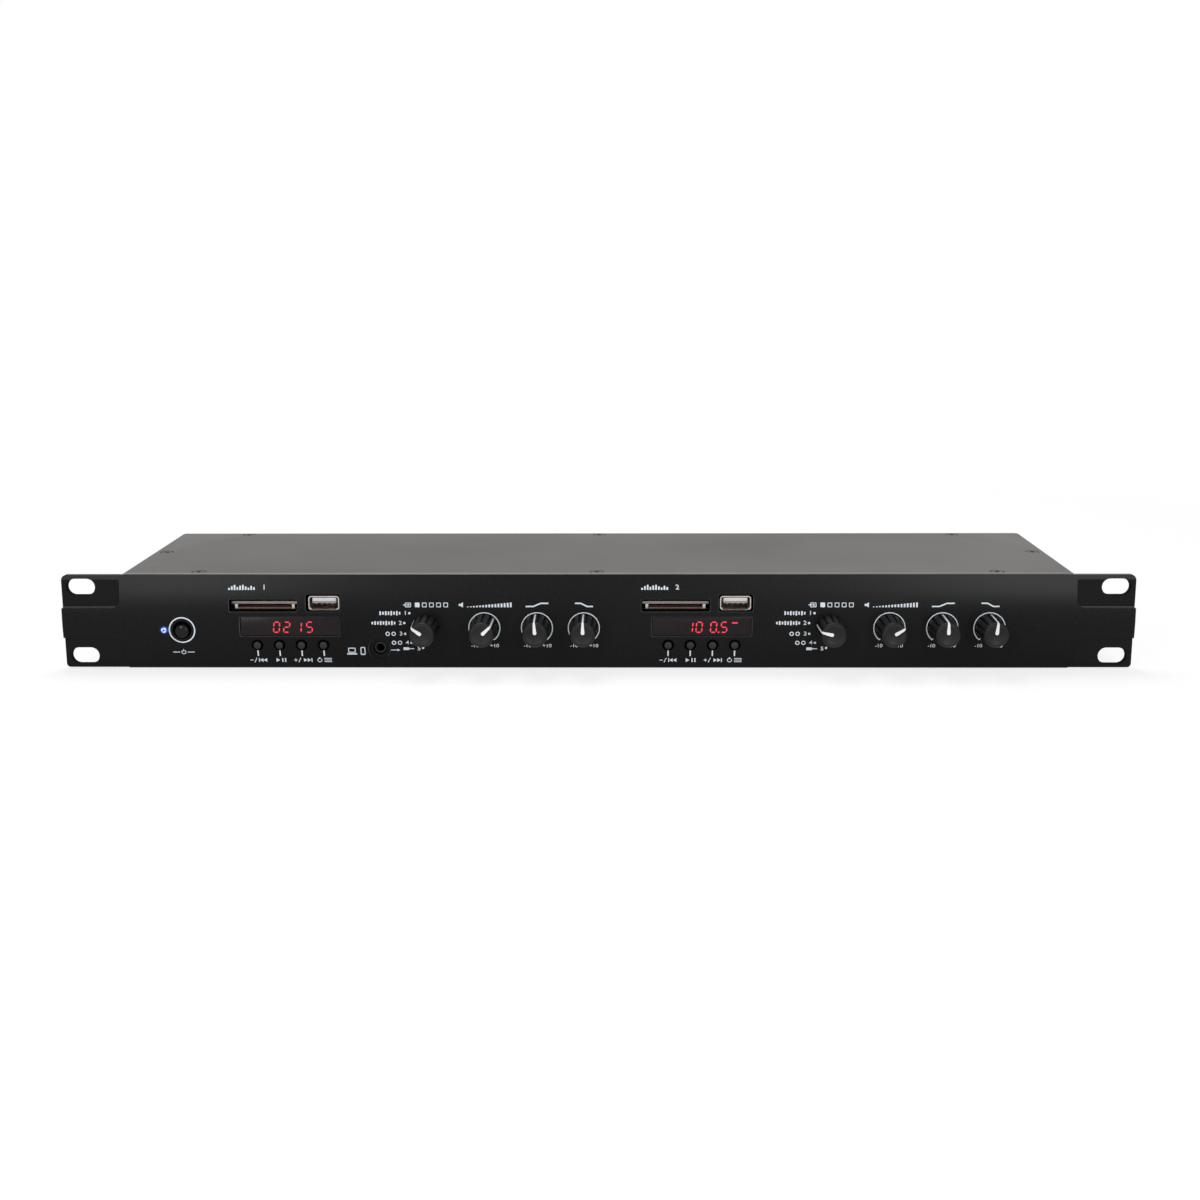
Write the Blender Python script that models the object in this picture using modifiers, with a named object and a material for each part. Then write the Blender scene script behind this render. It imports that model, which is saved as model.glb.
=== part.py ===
"""Dual media player, one rack unit high, for a 19 inch rack.

Frame: +X to the viewer's right, +Y into the rack, +Z up, in metres.
The datum empty stands on the rack's mounting plane, which is the rear
face of the front panel, at the middle of the panel's lower edge. It is
set back so that the origin lies under the middle of the whole player.
"""

import math

import bmesh
import bpy
from mathutils import Matrix, Vector

# Shared sizes
GAP = 0.0003
OVERRUN = 0.002
SHEET = 0.0012
BEND_RADIUS = 0.0015
BOARD_THICKNESS = 0.0016

# Front panel, a crowned extrusion with a recess at each corner
PANEL_WIDTH = 0.4826
PANEL_HEIGHT = 0.0435
EAR_THICKNESS = 0.0028
CROWN_RISE = 0.0024
CROWN_RADIUS = 0.079
CHASSIS_SETBACK = 0.0273
EAR_STEP_INSET = 0.001
EAR_RELIEF = 0.0004
TOP_CORNER_RADIUS = 0.0024
FOOT_CORNER_RADIUS = 0.0016
RECESS_LENGTH = 0.0263
RECESS_RADIUS = 0.0032
TONGUE_HEIGHT = 0.0145
SLOT_LENGTH = 0.0127
SLOT_HEIGHT = 0.0075
SLOT_INSET_X = 0.00875
SLOT_INSET_Z = 0.005875

# Chassis of folded sheet
CHASSIS_DEPTH = 0.107
COVER_THICKNESS = 0.0015
COVER_DROP = 0.0002
COVER_CORNER_RADIUS = 0.002
FLANGE = 0.009
VENT_COUNT = 7
VENT_LENGTH = 0.02
VENT_WIDTH = 0.003
VENT_PITCH = 0.008
STANDOFF_RADIUS = 0.003
STANDOFF_HEIGHT = 0.006

# Countersunk holes of the cover
SCREW_SIDE_INSET = 0.0345
SCREW_INSET = 0.0043
SIDE_SCREW_INSET = 0.0055
SCREW_HEAD_RADIUS = 0.003
SCREW_HOLE_RADIUS = 0.0017
SCREW_HEAD_DEPTH = 0.001

# Places across the front and the rear, as shares of the chassis's width from its middle
PLAYER_SHARES = (-0.3236, 0.1105)
SOURCE_SHARES = (-0.1801, 0.2451)
VOLUME_SHARES = (-0.1185, 0.3068)
TREBLE_SHARES = (-0.0631, 0.3621)
BASS_SHARES = (-0.0138, 0.4114)
POWER_SHARE = -0.4374
JACK_SHARE = -0.2294
MAIN_BOARD_SHARE = 0.07
TRANSFORMER_SHARE = -0.3154
INLET_SHARE = -0.4089
LINE_SHARE = 0.1402
AERIAL_SHARE = 0.3505

# Players, places of one player's parts from its middle and from the panel's middle height
CARD_SHIFT = 0.0117
CARD_RISE = 0.0077
CARD_OPENING_WIDTH = 0.0308
CARD_OPENING_HEIGHT = 0.0056
CARD_OPENING_RADIUS = 0.0007
CARD_LID_WIDTH = 0.0298
CARD_LID_THICKNESS = 0.0005
CARD_CAGE_WIDTH = 0.0276
CARD_CAGE_HEIGHT = 0.0029
CARD_CAGE_DEPTH = 0.026
CARD_WIDTH = 0.0248
CARD_SLOT_DEPTH = 0.021
CARD_REACH = 0.0008
CARD_FLOOR = 0.0003
USB_SHIFT = 0.0153
USB_RISE = 0.0088
USB_OPENING_WIDTH = 0.0156
USB_OPENING_HEIGHT = 0.0079
USB_OPENING_RADIUS = 0.001
USB_WIDTH = 0.0139
USB_HEIGHT = 0.0066
USB_DEPTH = 0.0145
USB_WALL = 0.0004
USB_REACH = 0.0018
USB_CORNER_RADIUS = 0.0009
TONGUE_WIDTH = 0.0104
TONGUE_THICKNESS = 0.0016
TONGUE_RECESS = 0.0012
TONGUE_BASE = 0.003
TONGUE_LIFT = 0.0028
DISPLAY_DROP = 0.0019
DISPLAY_WIDTH = 0.045
DISPLAY_HEIGHT = 0.0092
DISPLAY_RADIUS = 0.001
WINDOW_THICKNESS = 0.002
WINDOW_RECESS = 0.0005
DIGIT_BLOCK_WIDTH = 0.041
DIGIT_BLOCK_HEIGHT = 0.0084
DIGIT_BLOCK_SET_BACK = 0.0005
DISPLAY_BOARD_Y = 0.011
DISPLAY_BOARD_WIDTH = 0.052
DISPLAY_BOARD_MARGIN = 0.0013
PLAYER_BOARD_WIDTH = 0.0525
PLAYER_BOARD_DEPTH = 0.032
PLAYER_BOARD_SHIFT = 0.0018

# Transport buttons, four a player
BUTTON_COUNT = 4
BUTTON_PITCH = 0.01
BUTTON_DROP = 0.0106
BUTTON_HOLE_RADIUS = 0.0026
BUTTON_RADIUS = 0.0017
BUTTON_PROUD = 0.001
BUTTON_EDGE = 0.0003
BUTTON_COLLAR_RADIUS = 0.003
BUTTON_COLLAR = 0.001
BUTTON_STEM_RADIUS = 0.0014
BUTTON_TRAVEL = 0.0005
BUTTON_IDLE_GAP = 0.0009
TACT_WIDTH = 0.006
TACT_HEIGHT = 0.0035
TACT_PLUNGER_RADIUS = 0.0017
TACT_PLUNGER = 0.0012

# Power button, its lamp and its switch
POWER_DROP = 0.0035
POWER_HOLE_RADIUS = 0.0041
POWER_RADIUS = 0.0032
POWER_PROUD = 0.0012
POWER_DOME = 0.0011
POWER_SKIRT_END = 0.001
POWER_STEM_RADIUS = 0.0017
POWER_STEM_END = 0.009
POWER_TRAVEL = 0.002
POWER_SWITCH_WIDTH = 0.011
POWER_SWITCH_DEPTH = 0.016
POWER_SKIRT_ROOM = 0.0045
LAMP_SHIFT = 0.0082
LAMP_RADIUS = 0.0017
LAMP_PROUD = 0.0006
LAMP_FLANGE_RADIUS = 0.0023
LAMP_FLANGE = 0.001
LAMP_BODY = 0.004

# Jack socket in its spot face
JACK_RISE = 0.00945
SPOT_FACE_RADIUS = 0.0049
SPOT_FACE_DEPTH = 0.0017
JACK_NOSE_RADIUS = 0.0026
JACK_CLEARANCE = 0.00045
JACK_RECESS = 0.001
JACK_BORE_RADIUS = 0.0018
JACK_BORE_DEPTH = 0.015
JACK_BODY_WIDTH = 0.009
JACK_BODY_DEPTH = 0.013

# Rotary controls
POINTER_TURNS = {"source": (-55, -77), "volume": (46, 58), "treble": (-4, 0), "bass": (0, 6)}
KNOB_DROP = 0.0023
KNOB_HOLE_RADIUS = 0.005
KNOB_BASE_RADIUS = 0.0062
KNOB_RIM_RADIUS = 0.00575
KNOB_SHOULDER_RADIUS = 0.0053
KNOB_FACE_RADIUS = 0.0045
KNOB_LENGTH = 0.0156
KNOB_RIM_HEIGHT = 0.0138
KNOB_SHOULDER_HEIGHT = 0.0149
KNOB_CLEARANCE = 0.0004
KNOB_BORE_DEPTH = 0.011
FLUTES = 12
FLUTE_RADIUS = 0.0004
FLUTE_TOP = 0.0125
POINTER_WIDTH = 0.0012
POINTER_DEPTH = 0.0004
POINTER_START = 0.0004
SHAFT_RADIUS = 0.003
SHAFT_FLAT = 0.0015
SHAFT_END_GAP = 0.0005
BUSH_RADIUS = 0.0045
BUSH_REACH = 0.0028
SHAFT_SEAT = 0.007
CONTROL_RADIUS = 0.0083
CONTROL_DEPTH = 0.0085
CONTROL_CAP_RADIUS = 0.006
CONTROL_CAP = 0.0015
SELECTOR_BODY_RADIUS = 0.0105
SELECTOR_BODY_DEPTH = 0.012

# Inner boards and transformer
MAIN_BOARD_WIDTH = 0.2
MAIN_BOARD_FRONT_ROOM = 0.0095
MAIN_BOARD_BACK_ROOM = 0.012
CAPACITOR_RADIUS = 0.006
CAPACITOR_HEIGHT = 0.018
CAPACITOR_PITCH = 0.016
CHIP_SIZE = 0.014
CHIP_HEIGHT = 0.003
CORE_WIDTH = 0.048
CORE_DEPTH = 0.032
CORE_HEADROOM = 0.0068
CORE_LEG = 0.0055
COIL_BULGE = 0.0065
COIL_MARGIN = 0.0045

# Rear sockets
INLET_FLANGE_WIDTH = 0.031
INLET_FLANGE_HEIGHT = 0.0235
INLET_FLANGE = 0.002
INLET_BODY_WIDTH = 0.0272
INLET_BODY_HEIGHT = 0.0196
INLET_BODY_DEPTH = 0.018
INLET_WALL = 0.0014
INLET_FLOOR = 0.002
INLET_CORNER = 0.004
PIN_WIDTH = 0.002
PIN_HEIGHT = 0.0045
PIN_LENGTH = 0.0125
PIN_SPACING = 0.014
PIN_RISE = 0.0035
LINE_PAIRS = 4
LINE_PITCH_X = 0.019
LINE_PITCH_Z = 0.0145
LINE_BLOCK_DEPTH = 0.012
LINE_BLOCK_MARGIN = 0.007
LINE_BARREL_RADIUS = 0.0042
LINE_BARREL_LENGTH = 0.009
LINE_BORE_RADIUS = 0.0018
LINE_BORE_DEPTH = 0.008
AERIAL_RADIUS = 0.0047
AERIAL_LENGTH = 0.0085
AERIAL_FLANGE_RADIUS = 0.0065
AERIAL_FLANGE = 0.002
AERIAL_BORE_RADIUS = 0.0022
AERIAL_BORE_DEPTH = 0.007
AERIAL_TAIL = 0.008

# Facets
CROWN_STEPS = 10
CORNER_STEPS = 4
ROUND_STEPS = 16
SMALL_STEPS = 12
KNOB_STEPS = 24

# Places worked out from the sizes above
MID_Z = PANEL_HEIGHT / 2
SLOT_SPACING_X = PANEL_WIDTH - 2 * SLOT_INSET_X
SLOT_SPACING_Z = PANEL_HEIGHT - 2 * SLOT_INSET_Z
CHASSIS_WIDTH = PANEL_WIDTH - 2 * CHASSIS_SETBACK
PLAYER_X = [share * CHASSIS_WIDTH for share in PLAYER_SHARES]
POWER_X = POWER_SHARE * CHASSIS_WIDTH
JACK_X = JACK_SHARE * CHASSIS_WIDTH
MAIN_BOARD_X = MAIN_BOARD_SHARE * CHASSIS_WIDTH
TRANSFORMER_X = TRANSFORMER_SHARE * CHASSIS_WIDTH
INLET_X = INLET_SHARE * CHASSIS_WIDTH
LINE_X = LINE_SHARE * CHASSIS_WIDTH
AERIAL_X = AERIAL_SHARE * CHASSIS_WIDTH
PLANE_Y = 0.0
SUB_FRONT = PLANE_Y + GAP
SUB_BACK = SUB_FRONT + SHEET
BEHIND_SUB = SUB_BACK + GAP
BACK_Y = PLANE_Y + GAP + CHASSIS_DEPTH
COVER_TOP = PANEL_HEIGHT - COVER_DROP
COVER_UNDER = COVER_TOP - COVER_THICKNESS
WALL_TOP = COVER_UNDER - GAP
INNER_HALF_WIDTH = CHASSIS_WIDTH / 2 - SHEET - GAP
KNOB_Z = MID_Z - KNOB_DROP
BUTTON_Z = MID_Z - BUTTON_DROP
POWER_Z = MID_Z - POWER_DROP
JACK_Z = JACK_RISE
JACK_DROP = MID_Z - JACK_RISE
DISPLAY_Z = MID_Z - DISPLAY_DROP
CARD_Z = MID_Z + CARD_RISE
USB_Z = MID_Z + USB_RISE
USB_FOOT = USB_Z - USB_HEIGHT / 2
PLAYER_BOARD_TOP = USB_FOOT - GAP
REAR_Z = MID_Z
PLAYER_BOARD_BACK = BEHIND_SUB + PLAYER_BOARD_DEPTH
TRANSFORMER_Y = (PLAYER_BOARD_BACK + BACK_Y - FLANGE) / 2
CORE_HEIGHT = COVER_UNDER - CORE_HEADROOM - SHEET - GAP
MAIN_BOARD_FRONT = DISPLAY_BOARD_Y + BOARD_THICKNESS + MAIN_BOARD_FRONT_ROOM
MAIN_BOARD_BACK = BACK_Y - SHEET - LINE_BLOCK_DEPTH - MAIN_BOARD_BACK_ROOM

# Finishes as colour, roughness and metallic
BLACK_PAINT = ((0.018, 0.018, 0.019), 0.5, 0.0)
GREY_PAINT = ((0.17, 0.17, 0.16), 0.55, 0.0)
ZINC_STEEL = ((0.45, 0.46, 0.46), 0.4, 1.0)
BLACK_PLASTIC = ((0.025, 0.025, 0.026), 0.45, 0.0)
BLACK_GLOSS = ((0.02, 0.02, 0.021), 0.15, 0.0)
WHITE_PLASTIC = ((0.8, 0.8, 0.78), 0.4, 0.0)
RED_GLASS = ((0.03, 0.008, 0.01), 0.1, 0.0)
BLUE_LENS = ((0.02, 0.09, 0.6), 0.2, 0.0)
NICKEL = ((0.6, 0.58, 0.54), 0.25, 1.0)
GREEN_BOARD = ((0.02, 0.16, 0.06), 0.5, 0.0)
BROWN_BOARD = ((0.2, 0.12, 0.06), 0.6, 0.0)
CORE_IRON = ((0.12, 0.12, 0.13), 0.5, 0.6)

# World positions of the drawing planes: an outline lies in local XY and is extruded along local Z
FACING_FRONT = Matrix.Rotation(math.pi / 2, 4, "X")
FACING_SIDE = Matrix(((0, 0, 1, 0), (1, 0, 0, 0), (0, 1, 0, 0), (0, 0, 0, 1)))
TOWARDS_VIEWER = (math.pi / 2, 0, 0)
TOWARDS_REAR = (-math.pi / 2, 0, 0)


# Scene and finish

def clear_scene():
    for thing in list(bpy.data.objects):
        bpy.data.objects.remove(thing, do_unlink=True)


def new_collection(name):
    made = bpy.data.collections.new(name)
    bpy.context.scene.collection.children.link(made)
    return made


def finish(thing, name, look):
    """Names a piece, gives it its material and files it under the player's collection."""
    colour, roughness, metallic = look
    material = bpy.data.materials.new(name)
    material.use_nodes = True
    shader = material.node_tree.nodes["Principled BSDF"]
    shader.inputs["Base Color"].default_value = (*colour, 1.0)
    shader.inputs["Roughness"].default_value = roughness
    shader.inputs["Metallic"].default_value = metallic
    thing.name = name
    thing.data.name = name
    thing.data.materials.clear()
    thing.data.materials.append(material)
    move_to(thing, PLAYER)
    thing.parent = DATUM
    return thing


def move_to(thing, collection):
    for owner in list(thing.users_collection):
        owner.objects.unlink(thing)
    collection.objects.link(thing)


def smooth(thing, limit=math.radians(30)):
    thing.data.shade_smooth()
    thing.data.set_sharp_from_angle(angle=limit)


# Making shapes

def baked(thing):
    """The mesh of an object with its modifiers applied."""
    bpy.context.view_layer.update()
    graph = bpy.context.evaluated_depsgraph_get()
    return bpy.data.meshes.new_from_object(thing.evaluated_get(graph))


def from_mesh(mesh, name):
    thing = bpy.data.objects.new(name, mesh)
    PLAYER.objects.link(thing)
    return thing


def box(low, high, name="box"):
    """A box between two corners."""
    bpy.ops.mesh.primitive_cube_add(size=1.0)
    thing = bpy.context.object
    thing.name = name
    size = Vector(high) - Vector(low)
    middle = (Vector(high) + Vector(low)) / 2
    thing.data.transform(Matrix.Translation(middle) @ Matrix.Diagonal((*size, 1.0)))
    return thing


def rod(radius, start, end, x, z, steps=ROUND_STEPS, name="rod"):
    """A cylinder along Y from start to end."""
    bpy.ops.mesh.primitive_cylinder_add(vertices=steps, radius=radius, depth=end - start)
    thing = bpy.context.object
    thing.name = name
    middle = Matrix.Translation((x, (start + end) / 2, z))
    thing.data.transform(middle @ FACING_FRONT)
    return thing


def turned(profile, steps, name="turned"):
    """A Screw revolve about local Z of (radius, height) points that run down the outer side."""
    mesh = bpy.data.meshes.new(name)
    points = [(radius, 0.0, height) for radius, height in profile]
    edges = [(i, i + 1) for i in range(len(points) - 1)]
    mesh.from_pydata(points, edges, [])
    thing = from_mesh(mesh, name)
    screw = thing.modifiers.new("Turn", "SCREW")
    screw.axis = "Z"
    screw.angle = 2 * math.pi
    screw.steps = steps
    screw.render_steps = steps
    screw.use_merge_vertices = True
    screw.merge_threshold = 0.00001
    solid = from_mesh(baked(thing), name)
    bpy.data.objects.remove(thing)
    return solid


def arc(centre_x, centre_y, radius, start, end, steps=CORNER_STEPS):
    """Points of an arc, with its angles in degrees."""
    points = []
    for i in range(steps + 1):
        angle = math.radians(start + (end - start) * i / steps)
        points.append((centre_x + radius * math.cos(angle), centre_y + radius * math.sin(angle)))
    return points


def rounded(width, height, radius, x=0.0, y=0.0):
    """The outline of a rounded rectangle about a middle."""
    half_w = width / 2 - radius
    half_h = height / 2 - radius
    return (arc(x + half_w, y + half_h, radius, 0, 90) + arc(x - half_w, y + half_h, radius, 90, 180)
            + arc(x - half_w, y - half_h, radius, 180, 270) + arc(x + half_w, y - half_h, radius, 270, 360))


def obround(length, width, x=0.0, y=0.0, steps=2 * CORNER_STEPS):
    """The outline of a slot with round ends, longer in x."""
    half = (length - width) / 2
    return (arc(x + half, y, width / 2, -90, 90, steps) + arc(x - half, y, width / 2, 90, 270, steps))


def flatted(radius, flat, steps=SMALL_STEPS):
    """The outline of a round bar with a flat on its +Y side."""
    corner = math.degrees(math.asin(flat / radius))
    return arc(0.0, 0.0, radius, 180 - corner, 360 + corner, steps)


def extruded(outline, depth, name="extruded"):
    """A flat closed outline in local XY, extruded evenly about local Z and welded."""
    curve = bpy.data.curves.new(name, "CURVE")
    curve.dimensions = "2D"
    curve.fill_mode = "BOTH"
    curve.extrude = depth / 2
    spline = curve.splines.new("POLY")
    spline.use_smooth = False
    spline.points.add(len(outline) - 1)
    for point, (x, y) in zip(spline.points, outline):
        point.co = (x, y, 0.0, 1.0)
    spline.use_cyclic_u = True
    flat = bpy.data.objects.new(name, curve)
    PLAYER.objects.link(flat)
    mesh = baked(flat)
    bpy.data.objects.remove(flat)
    welded = bmesh.new()
    welded.from_mesh(mesh)
    bmesh.ops.remove_doubles(welded, verts=welded.verts, dist=0.000001)
    bmesh.ops.recalc_face_normals(welded, faces=welded.faces)
    welded.to_mesh(mesh)
    welded.free()
    return from_mesh(mesh, name)


def punch(outline, start, end, name="punch"):
    """An outline in (x, z), extruded along Y from start to end."""
    thing = extruded(outline, end - start, name)
    thing.data.transform(Matrix.Translation((0.0, (start + end) / 2, 0.0)) @ FACING_FRONT)
    return thing


def merged(things, name="tools"):
    """Several separate shapes as one object."""
    if len(things) == 1:
        things[0].name = name
        return things[0]
    bpy.ops.object.select_all(action="DESELECT")
    for thing in things:
        thing.select_set(True)
    bpy.context.view_layer.objects.active = things[0]
    bpy.ops.object.join()
    things[0].name = name
    return things[0]


def boolean(thing, tool, operation):
    """A live Boolean, whose tool goes to the cutters' collection."""
    cut = thing.modifiers.new(operation.title(), "BOOLEAN")
    cut.operation = operation
    cut.solver = "EXACT"
    cut.object = tool
    tool.display_type = "WIRE"
    tool.hide_render = True
    tool.parent = DATUM
    move_to(tool, CUTTERS)


def cut(thing, tools):
    boolean(thing, merged(tools, thing.name + "_cutter"), "DIFFERENCE")


def join(thing, tools):
    boolean(thing, merged(tools, thing.name + "_addition"), "UNION")


def settled(thing):
    """Applies the modifiers of a shape that is drawn about its own axis and then repeated."""
    tools = [mod.object for mod in thing.modifiers if mod.type == "BOOLEAN"]
    mesh = baked(thing)
    thing.modifiers.clear()
    thing.data = mesh
    for tool in tools:
        bpy.data.objects.remove(tool)
    return thing


def copy_of(pattern, name, look):
    """A further piece with the pattern's mesh, in its own object."""
    thing = bpy.data.objects.new(name, pattern.data.copy())
    PLAYER.objects.link(thing)
    smooth(thing)
    return finish(thing, name, look)


def folded(profile, start, end, name):
    """A folded sheet: an open (x, z) profile drawn along Y, bent round and given its wall.

    The profile is the outer side and runs anticlockwise, so the wall grows inwards.
    """
    mesh = bpy.data.meshes.new(name)
    count = len(profile)
    points = [(x, y, z) for y in (start, end) for x, z in profile]
    faces = [(i + count, i + 1 + count, i + 1, i) for i in range(count - 1)]
    mesh.from_pydata(points, [], faces)
    thing = from_mesh(mesh, name)
    bends = bmesh.new()
    bends.from_mesh(mesh)
    creases = [edge for edge in bends.edges if len(edge.link_faces) == 2]
    bmesh.ops.bevel(bends, geom=creases, offset=BEND_RADIUS, segments=2, profile=0.5, affect="EDGES")
    bends.to_mesh(mesh)
    bends.free()
    wall = thing.modifiers.new("Wall", "SOLIDIFY")
    wall.thickness = SHEET
    wall.offset = -1.0
    wall.use_even_offset = True
    return thing


def face_y(height):
    """The crowned face at a height over the panel's middle."""
    sag = CROWN_RADIUS - math.sqrt(CROWN_RADIUS ** 2 - height ** 2)
    return PLANE_Y - EAR_THICKNESS - CROWN_RISE + sag


def control_places():
    """Name, x, and the pointer's turn in degrees of each rotary control."""
    shares = {"source": SOURCE_SHARES, "volume": VOLUME_SHARES, "treble": TREBLE_SHARES, "bass": BASS_SHARES}
    return [(kind, side + 1, shares[kind][side] * CHASSIS_WIDTH, POINTER_TURNS[kind][side])
            for side in range(2) for kind in shares]


def button_places():
    first = -BUTTON_PITCH * (BUTTON_COUNT - 1) / 2
    return [(side + 1, number + 1, middle + first + BUTTON_PITCH * number)
            for side, middle in enumerate(PLAYER_X) for number in range(BUTTON_COUNT)]


def line_places():
    first = LINE_X - LINE_PITCH_X * (LINE_PAIRS - 1) / 2
    return [(first + LINE_PITCH_X * pair, REAR_Z + LINE_PITCH_Z * (row - 0.5))
            for pair in range(LINE_PAIRS) for row in (0, 1)]


# Front panel

def panel_silhouette():
    """The panel from the front: the ears stand a little lower than the middle."""
    half_w = PANEL_WIDTH / 2
    half_h = PANEL_HEIGHT / 2
    ear = half_h - EAR_RELIEF
    step = CHASSIS_WIDTH / 2 - EAR_STEP_INSET
    top = TOP_CORNER_RADIUS
    foot = FOOT_CORNER_RADIUS
    outline = [(step, half_h)] + [(-step, half_h), (-step, ear)]
    outline += arc(-half_w + top, ear - top, top, 90, 180)
    outline += arc(-half_w + foot, -ear + foot, foot, 180, 270)
    outline += [(-step, -ear), (-step, -half_h), (step, -half_h), (step, -ear)]
    outline += arc(half_w - foot, -ear + foot, foot, 270, 360)
    outline += arc(half_w - top, ear - top, top, 0, 90) + [(step, ear)]
    return [(x, z + MID_Z) for x, z in outline]


def recess(side, level):
    """One corner recess: side and level are -1 or 1, and only its inner corner is round."""
    length = RECESS_LENGTH + OVERRUN
    height = (PANEL_HEIGHT - TONGUE_HEIGHT) / 2 + OVERRUN
    bite = [(0.0, 0.0), (length, 0.0), (length, height - RECESS_RADIUS)]
    bite += arc(length - RECESS_RADIUS, height - RECESS_RADIUS, RECESS_RADIUS, 0, 90)[1:]
    bite += [(0.0, height)]
    outer_x = side * (PANEL_WIDTH / 2 + OVERRUN)
    outer_z = MID_Z + level * (PANEL_HEIGHT / 2 + OVERRUN)
    outline = [(outer_x - side * x, outer_z - level * z) for x, z in bite]
    return punch(outline, PLANE_Y - EAR_THICKNESS - CROWN_RISE - OVERRUN, PLANE_Y - EAR_THICKNESS)


def rack_slots():
    slots = []
    for side in (-1, 1):
        for level in (-1, 1):
            outline = obround(SLOT_LENGTH, SLOT_HEIGHT, side * SLOT_SPACING_X / 2,
                              MID_Z + level * SLOT_SPACING_Z / 2)
            slots.append(punch(outline, -EAR_THICKNESS - CROWN_RISE - OVERRUN, OVERRUN))
    return slots


def player_openings():
    """Middle, size and corner radius of each card, USB and display opening."""
    places = []
    for middle in PLAYER_X:
        places.append((middle - CARD_SHIFT, CARD_Z, CARD_OPENING_WIDTH, CARD_OPENING_HEIGHT,
                       CARD_OPENING_RADIUS))
        places.append((middle + USB_SHIFT, USB_Z, USB_OPENING_WIDTH, USB_OPENING_HEIGHT, USB_OPENING_RADIUS))
        places.append((middle, DISPLAY_Z, DISPLAY_WIDTH, DISPLAY_HEIGHT, DISPLAY_RADIUS))
    return places


def front_panel():
    half_h = PANEL_HEIGHT / 2
    crown = []
    for i in range(CROWN_STEPS + 1):
        height = half_h - PANEL_HEIGHT * i / CROWN_STEPS
        crown.append((face_y(height), MID_Z + height))
    low = -OVERRUN
    high = PANEL_HEIGHT + OVERRUN
    edge = face_y(half_h)
    section = [(edge, high)] + crown + [(edge, low), (PLANE_Y, low), (PLANE_Y, high)]
    panel = extruded(section, PANEL_WIDTH + OVERRUN, "front_panel")
    panel.data.transform(FACING_SIDE)
    front = -EAR_THICKNESS - CROWN_RISE - OVERRUN
    boolean(panel, punch(panel_silhouette(), front, OVERRUN, "front_panel_silhouette"), "INTERSECT")
    recesses = [recess(side, level) for side in (-1, 1) for level in (-1, 1)]
    spot = face_y(-JACK_DROP) + SPOT_FACE_DEPTH
    cut(panel, recesses + [rod(SPOT_FACE_RADIUS, front, spot, JACK_X, JACK_Z, KNOB_STEPS)])
    tools = rack_slots()
    tools += [punch(rounded(width, height, radius, x, z), front, OVERRUN)
              for x, z, width, height, radius in player_openings()]
    tools += [rod(KNOB_HOLE_RADIUS, front, OVERRUN, x, KNOB_Z) for kind, side, x, turn in control_places()]
    tools += [rod(BUTTON_HOLE_RADIUS, front, OVERRUN, x, BUTTON_Z) for side, number, x in button_places()]
    tools += [rod(POWER_HOLE_RADIUS, front, OVERRUN, POWER_X, POWER_Z),
              rod(LAMP_RADIUS + GAP, front, OVERRUN, POWER_X - LAMP_SHIFT, POWER_Z),
              rod(JACK_NOSE_RADIUS + JACK_CLEARANCE, front, OVERRUN, JACK_X, JACK_Z)]
    cut(panel, tools)
    return finish(panel, "front_panel", BLACK_PAINT)


# Chassis

def flanged_wall(name, start, sign, tools):
    """A cross wall of the chassis with a flange at its head and foot, folded towards sign along Y."""
    low = SHEET + GAP
    reach = start + sign * FLANGE
    section = [(reach, WALL_TOP), (start, WALL_TOP), (start, low), (reach, low)]
    if sign < 0:
        section.reverse()
    wall = folded(section, -INNER_HALF_WIDTH, INNER_HALF_WIDTH, name)
    wall.data.transform(Matrix.Rotation(math.pi / 2, 4, "Z"))
    cut(wall, tools)
    return finish(wall, name, ZINC_STEEL)


def sub_panel():
    """The inner front wall, which the controls, sockets and boards are fastened to."""
    end = BEHIND_SUB
    start = PLANE_Y
    tools = []
    for x, z, width, height, radius in player_openings():
        half_w = width / 2 + GAP
        half_h = height / 2 + GAP
        tools.append(box((x - half_w, start, z - half_h), (x + half_w, end, z + half_h)))
    places = [(BUSH_RADIUS, x, KNOB_Z) for kind, side, x, turn in control_places()]
    places += [(BUTTON_RADIUS, x, BUTTON_Z) for side, number, x in button_places()]
    places += [(POWER_RADIUS, POWER_X, POWER_Z), (LAMP_RADIUS, POWER_X - LAMP_SHIFT, POWER_Z),
               (JACK_NOSE_RADIUS, JACK_X, JACK_Z)]
    tools += [rod(radius + GAP, start, end, x, z, SMALL_STEPS) for radius, x, z in places]
    return flanged_wall("sub_panel", SUB_FRONT, 1, tools)


def rear_panel():
    start = BACK_Y - SHEET - OVERRUN
    end = BACK_Y + OVERRUN
    inlet = rounded(INLET_BODY_WIDTH + 2 * GAP, INLET_BODY_HEIGHT + 2 * GAP, GAP, INLET_X, REAR_Z)
    tools = [punch(inlet, start, end)]
    tools += [rod(LINE_BARREL_RADIUS + GAP, start, end, x, z, SMALL_STEPS) for x, z in line_places()]
    tools += [rod(AERIAL_RADIUS + GAP, start, end, AERIAL_X, REAR_Z)]
    return flanged_wall("rear_panel", BACK_Y, -1, tools)


def standoff_places():
    """The feet of the main board, at its four corners."""
    inset = 2 * STANDOFF_RADIUS
    return [(MAIN_BOARD_X + side * (MAIN_BOARD_WIDTH / 2 - inset), y)
            for side in (-1, 1) for y in (MAIN_BOARD_BACK - inset, MAIN_BOARD_FRONT + inset)]


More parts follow.
